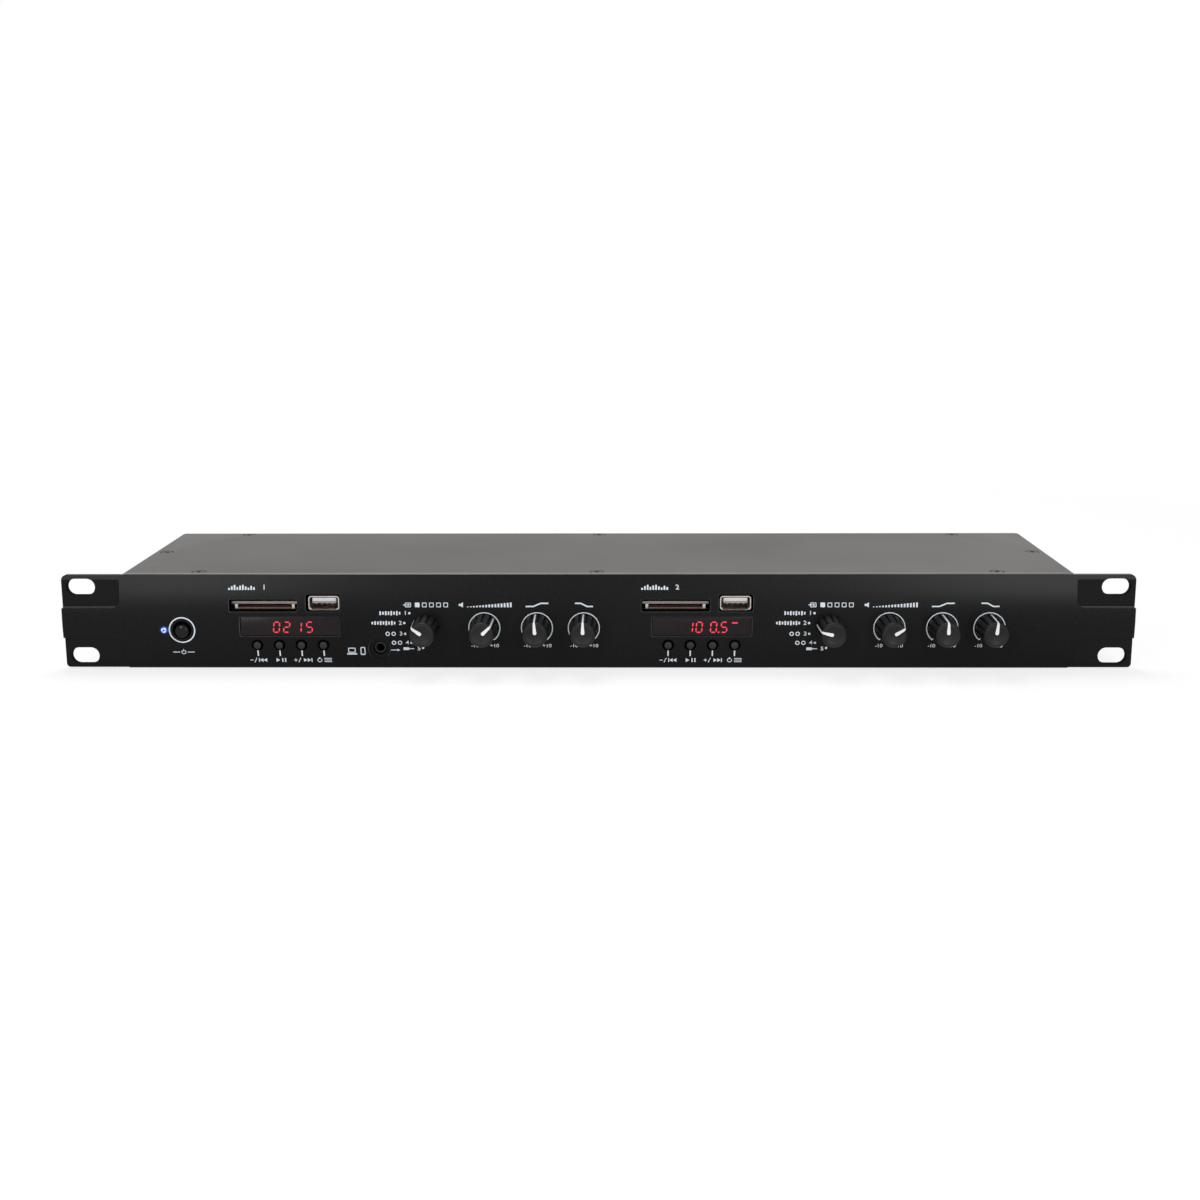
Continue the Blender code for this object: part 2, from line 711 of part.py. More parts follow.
def chassis_base():
    """Floor and side walls in one folded sheet, with a flange along the top of each wall."""
    half = CHASSIS_WIDTH / 2
    section = [(-half + FLANGE, WALL_TOP), (-half, WALL_TOP), (-half, 0.0),
               (half, 0.0), (half, WALL_TOP), (half - FLANGE, WALL_TOP)]
    base = folded(section, SUB_FRONT, BACK_Y, "chassis_base")
    room = FLANGE + GAP
    notches = []
    for side in (-1, 1):
        low_x, high_x = sorted((side * (half - SHEET - GAP / 2), side * (half - FLANGE - OVERRUN)))
        for low_y, high_y in ((PLANE_Y - OVERRUN, SUB_FRONT + room), (BACK_Y - room, BACK_Y + OVERRUN)):
            notches.append(box((low_x, low_y, WALL_TOP - SHEET - BEND_RADIUS), (high_x, high_y, COVER_TOP)))
    first = (SUB_FRONT + BACK_Y) / 2 - VENT_PITCH * (VENT_COUNT - 1) / 2
    vents = []
    for side in (-1, 1):
        for number in range(VENT_COUNT):
            slot = extruded(obround(VENT_LENGTH, VENT_WIDTH, steps=CORNER_STEPS), SHEET + 2 * OVERRUN)
            place = Matrix.Translation((side * half, first + VENT_PITCH * number, MID_Z))
            slot.data.transform(place @ FACING_SIDE @ Matrix.Rotation(math.pi / 2, 4, "Z"))
            vents.append(slot)
    cut(base, notches + vents)
    posts = []
    for x, y in standoff_places():
        bpy.ops.mesh.primitive_cylinder_add(vertices=SMALL_STEPS, radius=STANDOFF_RADIUS,
                                            depth=STANDOFF_HEIGHT + SHEET / 2)
        post = bpy.context.object
        post.data.transform(Matrix.Translation((x, y, SHEET / 2 + (STANDOFF_HEIGHT + SHEET / 2) / 2)))
        posts.append(post)
    join(base, posts)
    return finish(base, "chassis_base", GREY_PAINT)


def screw_places():
    front = SUB_FRONT + SCREW_INSET
    back = BACK_Y - SCREW_INSET
    side = CHASSIS_WIDTH / 2 - SIDE_SCREW_INSET
    middle = (front + back) / 2
    outer = CHASSIS_WIDTH / 2 - SCREW_SIDE_INSET
    rows = [(x, y) for y in (front, back) for x in (-outer, 0.0, outer)]
    return rows + [(-side, middle), (side, middle)]


def top_cover():
    """The flat lid, with the back corners rounded and eight countersunk holes."""
    half = CHASSIS_WIDTH / 2
    radius = COVER_CORNER_RADIUS
    outline = [(-half, SUB_FRONT), (half, SUB_FRONT)]
    outline += arc(half - radius, BACK_Y - radius, radius, 0, 90)
    outline += arc(-half + radius, BACK_Y - radius, radius, 90, 180)
    lid = extruded(outline, COVER_THICKNESS, "top_cover")
    lid.data.transform(Matrix.Translation((0.0, 0.0, COVER_TOP - COVER_THICKNESS / 2)))
    slope = SCREW_HEAD_DEPTH
    profile = [(0.0, OVERRUN), (SCREW_HEAD_RADIUS + OVERRUN / 2, OVERRUN), (SCREW_HEAD_RADIUS, 0.0),
               (SCREW_HOLE_RADIUS, -slope), (SCREW_HOLE_RADIUS, -COVER_THICKNESS - OVERRUN),
               (0.0, -COVER_THICKNESS - OVERRUN)]
    sinks = []
    for x, y in screw_places():
        sink = turned(profile, SMALL_STEPS)
        sink.data.transform(Matrix.Translation((x, y, COVER_TOP)))
        sinks.append(sink)
    cut(lid, sinks)
    return finish(lid, "top_cover", GREY_PAINT)


# Rotary controls

def knob_pattern():
    """A tapered knob about local Z: twelve flutes, the one at local +Y running up into the pointer."""
    profile = [(0.0, KNOB_LENGTH), (KNOB_FACE_RADIUS, KNOB_LENGTH),
               (KNOB_SHOULDER_RADIUS, KNOB_SHOULDER_HEIGHT), (KNOB_RIM_RADIUS, KNOB_RIM_HEIGHT),
               (KNOB_BASE_RADIUS, 0.0), (0.0, 0.0)]
    knob = turned(profile, KNOB_STEPS, "knob")
    bore = extruded(flatted(SHAFT_RADIUS + GAP, SHAFT_FLAT + GAP), KNOB_BORE_DEPTH + OVERRUN, "bore")
    bore.data.transform(Matrix.Translation((0.0, 0.0, (KNOB_BORE_DEPTH - OVERRUN) / 2)))
    cut(knob, [bore])
    lean = math.atan2(KNOB_BASE_RADIUS - KNOB_RIM_RADIUS, KNOB_RIM_HEIGHT)
    cutters = bmesh.new()
    for flute in range(FLUTES):
        turn = 2 * math.pi * flute / FLUTES + math.pi / 2
        top = KNOB_LENGTH + OVERRUN if flute == 0 else FLUTE_TOP
        length = top + OVERRUN
        middle = (top - OVERRUN) / 2
        radius = KNOB_BASE_RADIUS - (KNOB_BASE_RADIUS - KNOB_RIM_RADIUS) * middle / KNOB_RIM_HEIGHT
        place = (Matrix.Rotation(turn, 4, "Z") @ Matrix.Translation((radius, 0.0, middle))
                 @ Matrix.Rotation(-lean, 4, "Y"))
        bmesh.ops.create_cone(cutters, cap_ends=True, segments=6, radius1=FLUTE_RADIUS,
                              radius2=FLUTE_RADIUS, depth=length, matrix=place)
    mesh = bpy.data.meshes.new("flutes")
    cutters.to_mesh(mesh)
    cutters.free()
    cut(knob, [from_mesh(mesh, "flutes")])
    half = POINTER_WIDTH / 2
    cut(knob, [box((-half, POINTER_START, KNOB_LENGTH - POINTER_DEPTH),
                   (half, KNOB_BASE_RADIUS + OVERRUN, KNOB_LENGTH + OVERRUN))])
    return settled(knob)


def shaft_pattern(length):
    """A control shaft about local Z, its foot at zero, with a flat at its head for the knob."""
    shaft = turned([(0.0, length), (SHAFT_RADIUS, length), (SHAFT_RADIUS, 0.0), (0.0, 0.0)],
                   ROUND_STEPS, "shaft")
    reach = SHAFT_RADIUS + OVERRUN
    cut(shaft, [box((-reach, SHAFT_FLAT, length - KNOB_BORE_DEPTH), (reach, reach, length + OVERRUN))])
    return settled(shaft)


def control_pattern(radius, depth, name):
    """A control's body about local Z: its mounting face at zero, its bush in front of it."""
    bore = SHAFT_RADIUS + GAP
    front = BUSH_REACH + BEHIND_SUB
    profile = [(0.0, -SHAFT_SEAT), (bore, -SHAFT_SEAT), (bore, front), (BUSH_RADIUS, front),
               (BUSH_RADIUS, 0.0), (radius, 0.0), (radius, -depth), (CONTROL_CAP_RADIUS, -depth),
               (CONTROL_CAP_RADIUS, -depth - CONTROL_CAP), (0.0, -depth - CONTROL_CAP)]
    return turned(profile, SMALL_STEPS, name)


def rotary_controls():
    knob = knob_pattern()
    knob_foot = face_y(-KNOB_DROP) - KNOB_CLEARANCE
    shaft_foot = BEHIND_SUB + SHAFT_SEAT - GAP
    shaft_head = knob_foot - KNOB_BORE_DEPTH + SHAFT_END_GAP
    shaft = shaft_pattern(shaft_foot - shaft_head)
    bodies = {"source": control_pattern(SELECTOR_BODY_RADIUS, SELECTOR_BODY_DEPTH, "selector"),
              "level": control_pattern(CONTROL_RADIUS, CONTROL_DEPTH, "level")}
    for kind, side, x, turn in control_places():
        facing = (math.pi / 2, math.radians(turn), 0.0)
        piece = copy_of(knob, f"{kind}_knob_{side}", BLACK_PLASTIC)
        piece.location = (x, knob_foot, KNOB_Z)
        piece.rotation_euler = facing
        piece = copy_of(shaft, f"{kind}_shaft_{side}", NICKEL)
        piece.location = (x, shaft_foot, KNOB_Z)
        piece.rotation_euler = facing
        body = bodies.get(kind, bodies["level"])
        word = "switch" if kind == "source" else "control"
        piece = copy_of(body, f"{kind}_{word}_{side}", ZINC_STEEL)
        piece.location = (x, BEHIND_SUB, KNOB_Z)
        piece.rotation_euler = TOWARDS_VIEWER
    for pattern in (knob, shaft, *bodies.values()):
        bpy.data.objects.remove(pattern)


# Transport buttons

def transport_buttons():
    """Caps about local Z, held behind the inner wall by their collars."""
    front = face_y(-BUTTON_DROP) - BUTTON_PROUD
    tip = DISPLAY_BOARD_Y - TACT_HEIGHT - TACT_PLUNGER - BUTTON_IDLE_GAP
    head = BEHIND_SUB - front
    collar = -BUTTON_COLLAR
    foot = BEHIND_SUB - tip
    profile = [(0.0, head), (BUTTON_RADIUS - BUTTON_EDGE, head), (BUTTON_RADIUS, head - BUTTON_EDGE),
               (BUTTON_RADIUS, 0.0), (BUTTON_COLLAR_RADIUS, 0.0), (BUTTON_COLLAR_RADIUS, collar),
               (BUTTON_STEM_RADIUS, collar), (BUTTON_STEM_RADIUS, foot), (0.0, foot)]
    pattern = turned(profile, SMALL_STEPS, "button")
    for side, number, x in button_places():
        piece = copy_of(pattern, f"transport_button_{side}_{number}", BLACK_PLASTIC)
        piece.location = (x, BEHIND_SUB, BUTTON_Z)
        piece.rotation_euler = TOWARDS_VIEWER
    bpy.data.objects.remove(pattern)


# Power button, lamp and jack

def power_parts():
    front = face_y(-POWER_DROP) - POWER_PROUD
    head = PLANE_Y - front
    skirt = PLANE_Y - POWER_SKIRT_END
    foot = PLANE_Y - POWER_STEM_END
    crown_radius = POWER_RADIUS / 2
    profile = [(0.0, head), (crown_radius, head - POWER_DOME / 4), (POWER_RADIUS, head - POWER_DOME),
               (POWER_RADIUS, skirt), (POWER_STEM_RADIUS, skirt), (POWER_STEM_RADIUS, foot), (0.0, foot)]
    button = turned(profile, ROUND_STEPS, "power_button")
    button.location = (POWER_X, PLANE_Y, POWER_Z)
    button.rotation_euler = TOWARDS_VIEWER
    smooth(button)
    finish(button, "power_button", BLACK_GLOSS)
    half = POWER_SWITCH_WIDTH / 2
    switch = box((POWER_X - half, BEHIND_SUB, POWER_Z - half),
                 (POWER_X + half, BEHIND_SUB + POWER_SWITCH_DEPTH, POWER_Z + half), "power_switch")
    cut(switch, [rod(POWER_RADIUS + GAP, PLANE_Y, PLANE_Y + POWER_SKIRT_ROOM, POWER_X, POWER_Z)])
    end = PLANE_Y + POWER_STEM_END + POWER_TRAVEL + GAP
    cut(switch, [rod(POWER_STEM_RADIUS + GAP, PLANE_Y, end, POWER_X, POWER_Z, SMALL_STEPS)])
    finish(switch, "power_switch", BLACK_PLASTIC)


def power_lamp():
    """A round lens with a flange behind the inner wall."""
    front = face_y(-POWER_DROP) - LAMP_PROUD
    head = BEHIND_SUB - front
    dome = LAMP_RADIUS / 2
    profile = [(0.0, head), (dome, head - LAMP_PROUD / 3), (LAMP_RADIUS, head - LAMP_PROUD - GAP),
               (LAMP_RADIUS, 0.0), (LAMP_FLANGE_RADIUS, 0.0), (LAMP_FLANGE_RADIUS, -LAMP_FLANGE),
               (LAMP_RADIUS, -LAMP_FLANGE), (LAMP_RADIUS, -LAMP_BODY), (0.0, -LAMP_BODY)]
    lamp = turned(profile, SMALL_STEPS, "power_lamp")
    lamp.location = (POWER_X - LAMP_SHIFT, BEHIND_SUB, POWER_Z)
    lamp.rotation_euler = TOWARDS_VIEWER
    smooth(lamp)
    finish(lamp, "power_lamp", BLUE_LENS)


def jack_socket():
    half = JACK_BODY_WIDTH / 2
    socket = box((JACK_X - half, BEHIND_SUB, JACK_Z - half + GAP),
                 (JACK_X + half, BEHIND_SUB + JACK_BODY_DEPTH, JACK_Z + half), "jack_socket")
    front = face_y(-JACK_DROP) + SPOT_FACE_DEPTH + JACK_RECESS
    join(socket, [rod(JACK_NOSE_RADIUS, front, BEHIND_SUB + OVERRUN, JACK_X, JACK_Z)])
    cut(socket, [rod(JACK_BORE_RADIUS, front - OVERRUN, front + JACK_BORE_DEPTH, JACK_X, JACK_Z)])
    finish(socket, "jack_socket", BLACK_PLASTIC)


# Players

def card_socket(side, middle):
    """A card cage: an overhanging sheet lid over a cage that is open in front."""
    x = middle - CARD_SHIFT
    front = PLANE_Y - CARD_REACH
    back = front + CARD_CAGE_DEPTH
    top = PLAYER_BOARD_TOP + GAP + CARD_CAGE_HEIGHT
    foot = PLAYER_BOARD_TOP + GAP
    cage = box((x - CARD_CAGE_WIDTH / 2, front, foot), (x + CARD_CAGE_WIDTH / 2, back, top), "card_socket")
    lid = box((x - CARD_LID_WIDTH / 2, front, top - CARD_LID_THICKNESS), (x + CARD_LID_WIDTH / 2, back, top))
    join(cage, [lid])
    cut(cage, [box((x - CARD_WIDTH / 2, front - OVERRUN, foot + CARD_FLOOR),
                   (x + CARD_WIDTH / 2, front + CARD_SLOT_DEPTH, top - CARD_LID_THICKNESS))])
    finish(cage, f"card_socket_{side}", NICKEL)


def usb_socket(side, middle):
    """A drawn shell that is open in front, and the insert whose tongue stands in it."""
    x = middle + USB_SHIFT
    front = PLANE_Y - USB_REACH
    back = front + USB_DEPTH
    shell = punch(rounded(USB_WIDTH, USB_HEIGHT, USB_CORNER_RADIUS, x, USB_Z), front, back, "usb_shell")
    inner_w = USB_WIDTH - 2 * USB_WALL
    inner_h = USB_HEIGHT - 2 * USB_WALL
    inner_radius = USB_CORNER_RADIUS - USB_WALL
    cut(shell, [punch(rounded(inner_w, inner_h, inner_radius, x, USB_Z), front - OVERRUN, back - USB_WALL)])
    finish(shell, f"usb_shell_{side}", NICKEL)
    heel = back - USB_WALL - GAP
    half_w = inner_w / 2 - GAP
    half_h = inner_h / 2 - GAP
    insert = box((x - half_w, heel - TONGUE_BASE, USB_Z - half_h + inner_radius),
                 (x + half_w, heel, USB_Z + half_h - inner_radius), "usb_insert")
    foot = USB_Z - inner_h / 2 + TONGUE_LIFT
    join(insert, [box((x - TONGUE_WIDTH / 2, front + TONGUE_RECESS, foot),
                      (x + TONGUE_WIDTH / 2, heel - TONGUE_BASE / 2, foot + TONGUE_THICKNESS))])
    finish(insert, f"usb_insert_{side}", WHITE_PLASTIC)


def display_window(side, middle):
    width = DISPLAY_WIDTH - 2 * GAP
    height = DISPLAY_HEIGHT - 2 * GAP
    front = face_y(-DISPLAY_DROP) + WINDOW_RECESS
    outline = rounded(width, height, DISPLAY_RADIUS - GAP, middle, DISPLAY_Z)
    window = punch(outline, front, front + WINDOW_THICKNESS, "display_window")
    finish(window, f"display_window_{side}", RED_GLASS)


def display_board(side, middle):
    """An upright board with the digit block and the four push switches on its front."""
    half = DISPLAY_BOARD_WIDTH / 2
    back = DISPLAY_BOARD_Y + BOARD_THICKNESS
    head = PLAYER_BOARD_TOP - SHEET - GAP
    foot = BUTTON_Z - TACT_WIDTH / 2 - DISPLAY_BOARD_MARGIN
    board = box((middle - half, DISPLAY_BOARD_Y, foot), (middle + half, back, head), "display_board")
    half_w = DIGIT_BLOCK_WIDTH / 2
    half_h = DIGIT_BLOCK_HEIGHT / 2
    root = DISPLAY_BOARD_Y + BOARD_THICKNESS / 2
    parts = [box((middle - half_w, PLANE_Y + DIGIT_BLOCK_SET_BACK, DISPLAY_Z - half_h),
                 (middle + half_w, root, DISPLAY_Z + half_h))]
    plungers = []
    for owner, number, x in button_places():
        if owner != side:
            continue
        half_t = TACT_WIDTH / 2
        face = DISPLAY_BOARD_Y - TACT_HEIGHT
        parts.append(box((x - half_t, face, BUTTON_Z - half_t),
                         (x + half_t, root, min(BUTTON_Z + half_t, DISPLAY_Z - half_h - GAP))))
        plungers.append(rod(TACT_PLUNGER_RADIUS, face - TACT_PLUNGER, face + TACT_PLUNGER, x, BUTTON_Z,
                            SMALL_STEPS))
    join(board, parts)
    join(board, plungers)
    finish(board, f"display_board_{side}", GREEN_BOARD)


def player_board(side, middle):
    """The level board that carries the card and USB sockets on its top face."""
    left = middle - PLAYER_BOARD_WIDTH / 2 - PLAYER_BOARD_SHIFT
    board = box((left, BEHIND_SUB, PLAYER_BOARD_TOP - SHEET),
                (left + PLAYER_BOARD_WIDTH, PLAYER_BOARD_BACK, PLAYER_BOARD_TOP), "player_board")
    finish(board, f"player_board_{side}", BROWN_BOARD)


# Inner boards and transformer

def main_board():
    """The audio board on its four feet, with its reservoir capacitors and chips."""
    foot = SHEET + STANDOFF_HEIGHT + GAP
    top = foot + BOARD_THICKNESS
    left = MAIN_BOARD_X - MAIN_BOARD_WIDTH / 2
    middle = (MAIN_BOARD_FRONT + MAIN_BOARD_BACK) / 2
    board = box((left, MAIN_BOARD_FRONT, foot), (left + MAIN_BOARD_WIDTH, MAIN_BOARD_BACK, top), "main_board")
    root = foot + BOARD_THICKNESS / 2
    parts = []
    for number in range(3):
        bpy.ops.mesh.primitive_cylinder_add(vertices=SMALL_STEPS, radius=CAPACITOR_RADIUS,
                                            depth=CAPACITOR_HEIGHT)
        can = bpy.context.object
        x = left + CAPACITOR_PITCH * (number + 1)
        can.data.transform(Matrix.Translation((x, middle, root + CAPACITOR_HEIGHT / 2)))
        parts.append(can)
    for number in range(3):
        x = MAIN_BOARD_X + number * 2 * CHIP_SIZE
        half = CHIP_SIZE / 2
        parts.append(box((x - half, middle - half, root), (x + half, middle + half, top + CHIP_HEIGHT)))
    join(board, parts)
    finish(board, "main_board", GREEN_BOARD)


def transformer():
    """A mains transformer: a laminated core with its winding bulging out of both windows."""
    foot = SHEET + GAP
    half_w = CORE_WIDTH / 2
    half_d = CORE_DEPTH / 2
    core = box((TRANSFORMER_X - half_w, TRANSFORMER_Y - half_d, foot),
               (TRANSFORMER_X + half_w, TRANSFORMER_Y + half_d, foot + CORE_HEIGHT), "transformer")
    middle = foot + CORE_HEIGHT / 2
    winding = rounded(CORE_WIDTH - 2 * CORE_LEG, CORE_HEIGHT - 2 * COIL_MARGIN, COIL_BULGE / 2,
                      TRANSFORMER_X, middle)
    join(core, [punch(winding, TRANSFORMER_Y - half_d - COIL_BULGE, TRANSFORMER_Y + half_d + COIL_BULGE)])
    finish(core, "transformer", CORE_IRON)


# Rear sockets

def inlet_outline(grow):
    """The inlet's cavity, whose two upper corners are cut off."""
    half_w = INLET_BODY_WIDTH / 2 - INLET_WALL + grow
    half_h = INLET_BODY_HEIGHT / 2 - INLET_WALL + grow
    cut_off = INLET_CORNER
    outline = [(-half_w, -half_h), (half_w, -half_h), (half_w, half_h - cut_off), (half_w - cut_off, half_h),
               (-half_w + cut_off, half_h), (-half_w, half_h - cut_off)]
    return [(INLET_X + x, REAR_Z + z) for x, z in outline]


def mains_inlet():
    """A chassis inlet with its flange outside the rear wall and three pins in its cavity."""
    face = BACK_Y + GAP + INLET_FLANGE
    front = BACK_Y - INLET_BODY_DEPTH
    flange = punch(rounded(INLET_FLANGE_WIDTH, INLET_FLANGE_HEIGHT, INLET_FLANGE, INLET_X, REAR_Z),
                   BACK_Y + GAP, face, "mains_inlet")
    half_w = INLET_BODY_WIDTH / 2
    half_h = INLET_BODY_HEIGHT / 2
    join(flange, [box((INLET_X - half_w, front, REAR_Z - half_h),
                      (INLET_X + half_w, BACK_Y + GAP + INLET_FLANGE / 2, REAR_Z + half_h))])
    cut(flange, [punch(inlet_outline(0.0), front + INLET_FLOOR, face + OVERRUN)])
    pins = []
    for x, z in ((-PIN_SPACING / 2, -PIN_RISE / 2), (PIN_SPACING / 2, -PIN_RISE / 2), (0.0, PIN_RISE / 2)):
        low = (INLET_X + x - PIN_WIDTH / 2, front + INLET_FLOOR / 2, REAR_Z + z - PIN_HEIGHT / 2)
        high = (INLET_X + x + PIN_WIDTH / 2, front + INLET_FLOOR + PIN_LENGTH, REAR_Z + z + PIN_HEIGHT / 2)
        pins.append(box(low, high))
    join(flange, pins)
    finish(flange, "mains_inlet", BLACK_PLASTIC)


def line_sockets():
    """Four stereo pairs of phono sockets on one moulded block behind the rear wall."""
    width = LINE_PITCH_X * (LINE_PAIRS - 1) + 2 * LINE_BLOCK_MARGIN
    height = LINE_PITCH_Z + 2 * LINE_BLOCK_MARGIN
    back = BACK_Y - SHEET - GAP
    block = box((LINE_X - width / 2, back - LINE_BLOCK_DEPTH, REAR_Z - height / 2),
                (LINE_X + width / 2, back, REAR_Z + height / 2), "line_sockets")
    end = BACK_Y + LINE_BARREL_LENGTH
    barrels = [rod(LINE_BARREL_RADIUS, back - LINE_BLOCK_DEPTH / 2, end, x, z, SMALL_STEPS)
               for x, z in line_places()]
    bores = [rod(LINE_BORE_RADIUS, end - LINE_BORE_DEPTH, end + OVERRUN, x, z, SMALL_STEPS)
             for x, z in line_places()]
    join(block, barrels)
    cut(block, bores)
    finish(block, "line_sockets", BLACK_PLASTIC)


def aerial_socket():
    """A turned socket: barrel outside the rear wall, flange and tail behind it."""
    profile = [(0.0, AERIAL_LENGTH - AERIAL_BORE_DEPTH), (AERIAL_BORE_RADIUS, AERIAL_LENGTH - AERIAL_BORE_DEPTH),
               (AERIAL_BORE_RADIUS, AERIAL_LENGTH), (AERIAL_RADIUS, AERIAL_LENGTH),
               (AERIAL_RADIUS, -SHEET - GAP), (AERIAL_FLANGE_RADIUS, -SHEET - GAP),
               (AERIAL_FLANGE_RADIUS, -SHEET - GAP - AERIAL_FLANGE),
               (AERIAL_RADIUS, -SHEET - GAP - AERIAL_FLANGE), (AERIAL_RADIUS, -AERIAL_TAIL), (0.0, -AERIAL_TAIL)]
    socket = turned(profile, ROUND_STEPS, "aerial_socket")
    socket.location = (AERIAL_X, BACK_Y, REAR_Z)
    socket.rotation_euler = TOWARDS_REAR
    smooth(socket)
    finish(socket, "aerial_socket", NICKEL)


def build():
    front_panel()
    sub_panel()
    chassis_base()
    rear_panel()
    top_cover()
    rotary_controls()
    transport_buttons()
    power_parts()
    power_lamp()
    jack_socket()
    for index, middle in enumerate(PLAYER_X):
        side = index + 1
        card_socket(side, middle)
        usb_socket(side, middle)
        display_window(side, middle)
        display_board(side, middle)
        player_board(side, middle)
    main_board()
    transformer()
    mains_inlet()
    line_sockets()
    aerial_socket()


clear_scene()
PLAYER = new_collection("media_player")
CUTTERS = new_collection("media_player_cutters")
DATUM = bpy.data.objects.new("rack_datum", None)
PLAYER.objects.link(DATUM)
FRONT_END = face_y(-KNOB_DROP) - KNOB_CLEARANCE - KNOB_LENGTH
REAR_END = BACK_Y + max(LINE_BARREL_LENGTH, AERIAL_LENGTH, GAP + INLET_FLANGE)
build()
DATUM.location = (0.0, -(FRONT_END + REAR_END) / 2, 0.0)
bpy.context.view_layer.update()
print("set back by", round(DATUM.location.y, 6))
for kind, side, x, turn in control_places():
    print(kind, side, "axis", round(x, 6), round(KNOB_Z, 6))
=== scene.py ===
# %% [markdown]
# # A rack mount media player
#
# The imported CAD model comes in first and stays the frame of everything: its sizes, its places
# and its moving bodies. What follows gives it finer shapes, printing, finishes, light and a
# camera. Lengths are in metres, +X runs to the right along the front panel, +Y goes into the
# rack and +Z is up.

# %% Load the frame
import math

import bmesh
import bpy
from mathutils import Matrix, Vector


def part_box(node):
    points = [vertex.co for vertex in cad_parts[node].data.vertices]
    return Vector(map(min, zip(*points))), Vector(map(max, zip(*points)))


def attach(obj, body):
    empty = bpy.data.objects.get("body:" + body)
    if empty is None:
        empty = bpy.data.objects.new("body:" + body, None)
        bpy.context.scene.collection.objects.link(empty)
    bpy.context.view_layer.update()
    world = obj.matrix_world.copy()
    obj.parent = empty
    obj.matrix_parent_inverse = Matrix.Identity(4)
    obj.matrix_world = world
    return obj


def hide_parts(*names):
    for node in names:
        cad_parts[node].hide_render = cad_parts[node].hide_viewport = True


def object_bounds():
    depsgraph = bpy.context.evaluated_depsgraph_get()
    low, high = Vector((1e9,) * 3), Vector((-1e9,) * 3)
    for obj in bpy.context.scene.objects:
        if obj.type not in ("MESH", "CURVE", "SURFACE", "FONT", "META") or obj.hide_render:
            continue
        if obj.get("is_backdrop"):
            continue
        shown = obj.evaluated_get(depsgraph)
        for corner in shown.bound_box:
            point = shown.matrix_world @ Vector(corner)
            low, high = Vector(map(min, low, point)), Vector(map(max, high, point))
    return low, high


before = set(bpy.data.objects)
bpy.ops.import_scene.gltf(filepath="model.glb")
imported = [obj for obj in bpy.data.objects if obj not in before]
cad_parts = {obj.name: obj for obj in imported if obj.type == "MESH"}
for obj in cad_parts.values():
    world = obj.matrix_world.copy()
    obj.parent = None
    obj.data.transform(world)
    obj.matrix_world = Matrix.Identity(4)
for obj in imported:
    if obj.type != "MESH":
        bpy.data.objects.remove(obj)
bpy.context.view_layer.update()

print("CAD nodes:", len(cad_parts))

# %% [markdown]
# ## Small helpers
#
# Blender's operators act on whatever is selected, so every step starts by picking the right
# object. A primitive is added at its size and place, and its place is then applied, so that
# each finished piece has its shape in its mesh and its own origin at the world's.

# %% Pick, settle and join


def pick(*things):
    """Select only these, the first of them active."""
    bpy.ops.object.select_all(action="DESELECT")
    for thing in things:
        thing.select_set(True)
    bpy.context.view_layer.objects.active = things[0]


def settled(thing, name=None):
    """Put an object's place, turn and size into its mesh."""
    pick(thing)
    bpy.ops.object.transform_apply(location=True, rotation=True, scale=True)
    if name:
        thing.name = name
        thing.data.name = name
    return thing


def joined(things, name):
    """Make one mesh of several."""
    pick(*things)
    if len(things) > 1:
        bpy.ops.object.join()
    whole = bpy.context.view_layer.objects.active
    whole.name = name
    whole.data.name = name
    return whole


def placed_copy(pattern, name, place, turn=0.0, spin=0.0):
    """A copy with its own mesh, turned about Y (clockwise to the viewer) or spun about Z."""
    copy = pattern.copy()
    copy.data = pattern.data.copy()
    bpy.context.scene.collection.objects.link(copy)
    copy.rotation_euler = (0.0, turn, spin)
    copy.location = place
    return settled(copy, name)


def discard(*things):
    """Take away the patterns, tools and guides that have served."""
    for thing in things:
        bpy.data.objects.remove(thing, do_unlink=True)


# %% [markdown]
# Edges and faces are chosen in code by where they are, and then shaped with the same edit mode
# operators that a modeller has under the fingers: bevel, inset, extrude, resize, spin.

# %% Shape in edit mode


def shaping(thing, kind="EDGE"):
    """Go into edit mode with nothing selected."""
    pick(thing)
    bpy.ops.object.mode_set(mode="EDIT")
    bpy.ops.mesh.select_mode(type=kind)
    bpy.ops.mesh.select_all(action="DESELECT")


def choose(thing, kind, test):
    """Select the vertices, edges or faces whose middle passes a test, and count them."""
    mesh = bmesh.from_edit_mesh(thing.data)
    parts = {"VERT": mesh.verts, "EDGE": mesh.edges, "FACE": mesh.faces}[kind]
    count = 0
    for part in parts:
        if kind == "VERT":
            good = test(part.co)
        elif kind == "EDGE":
            ends = part.verts[0].co, part.verts[1].co
            good = test((ends[0] + ends[1]) / 2, ends[1] - ends[0])
        else:
            good = test(part.calc_center_median(), part.normal)
        part.select_set(good)
        count += good
    mesh.select_flush_mode()
    bmesh.update_edit_mesh(thing.data)
    return count


def choose_all():
    bpy.ops.mesh.select_all(action="SELECT")


def drawn(x, y, z):
    """Extrude what is selected and move it by a step."""
    bpy.ops.mesh.extrude_region_move(TRANSFORM_OT_translate={"value": (x, y, z)})


def done():
    bpy.ops.object.mode_set(mode="OBJECT")


def round_edges(thing, radius, steps, test):
    """Bevel the edges that pass the test."""
    shaping(thing, "EDGE")
    if choose(thing, "EDGE", test):
        bpy.ops.mesh.bevel(offset=radius, offset_type="OFFSET", segments=steps, affect="EDGES")
    done()
    return thing


def runs_along(axis):
    """A test for edges that run along X (0), Y (1) or Z (2)."""
    def test(middle, along):
        return abs(along[axis]) > 0.999 * along.length
    return test


def smooth(thing, limit=30):
    pick(thing)
    bpy.ops.object.shade_smooth_by_angle(angle=math.radians(limit))
    return thing


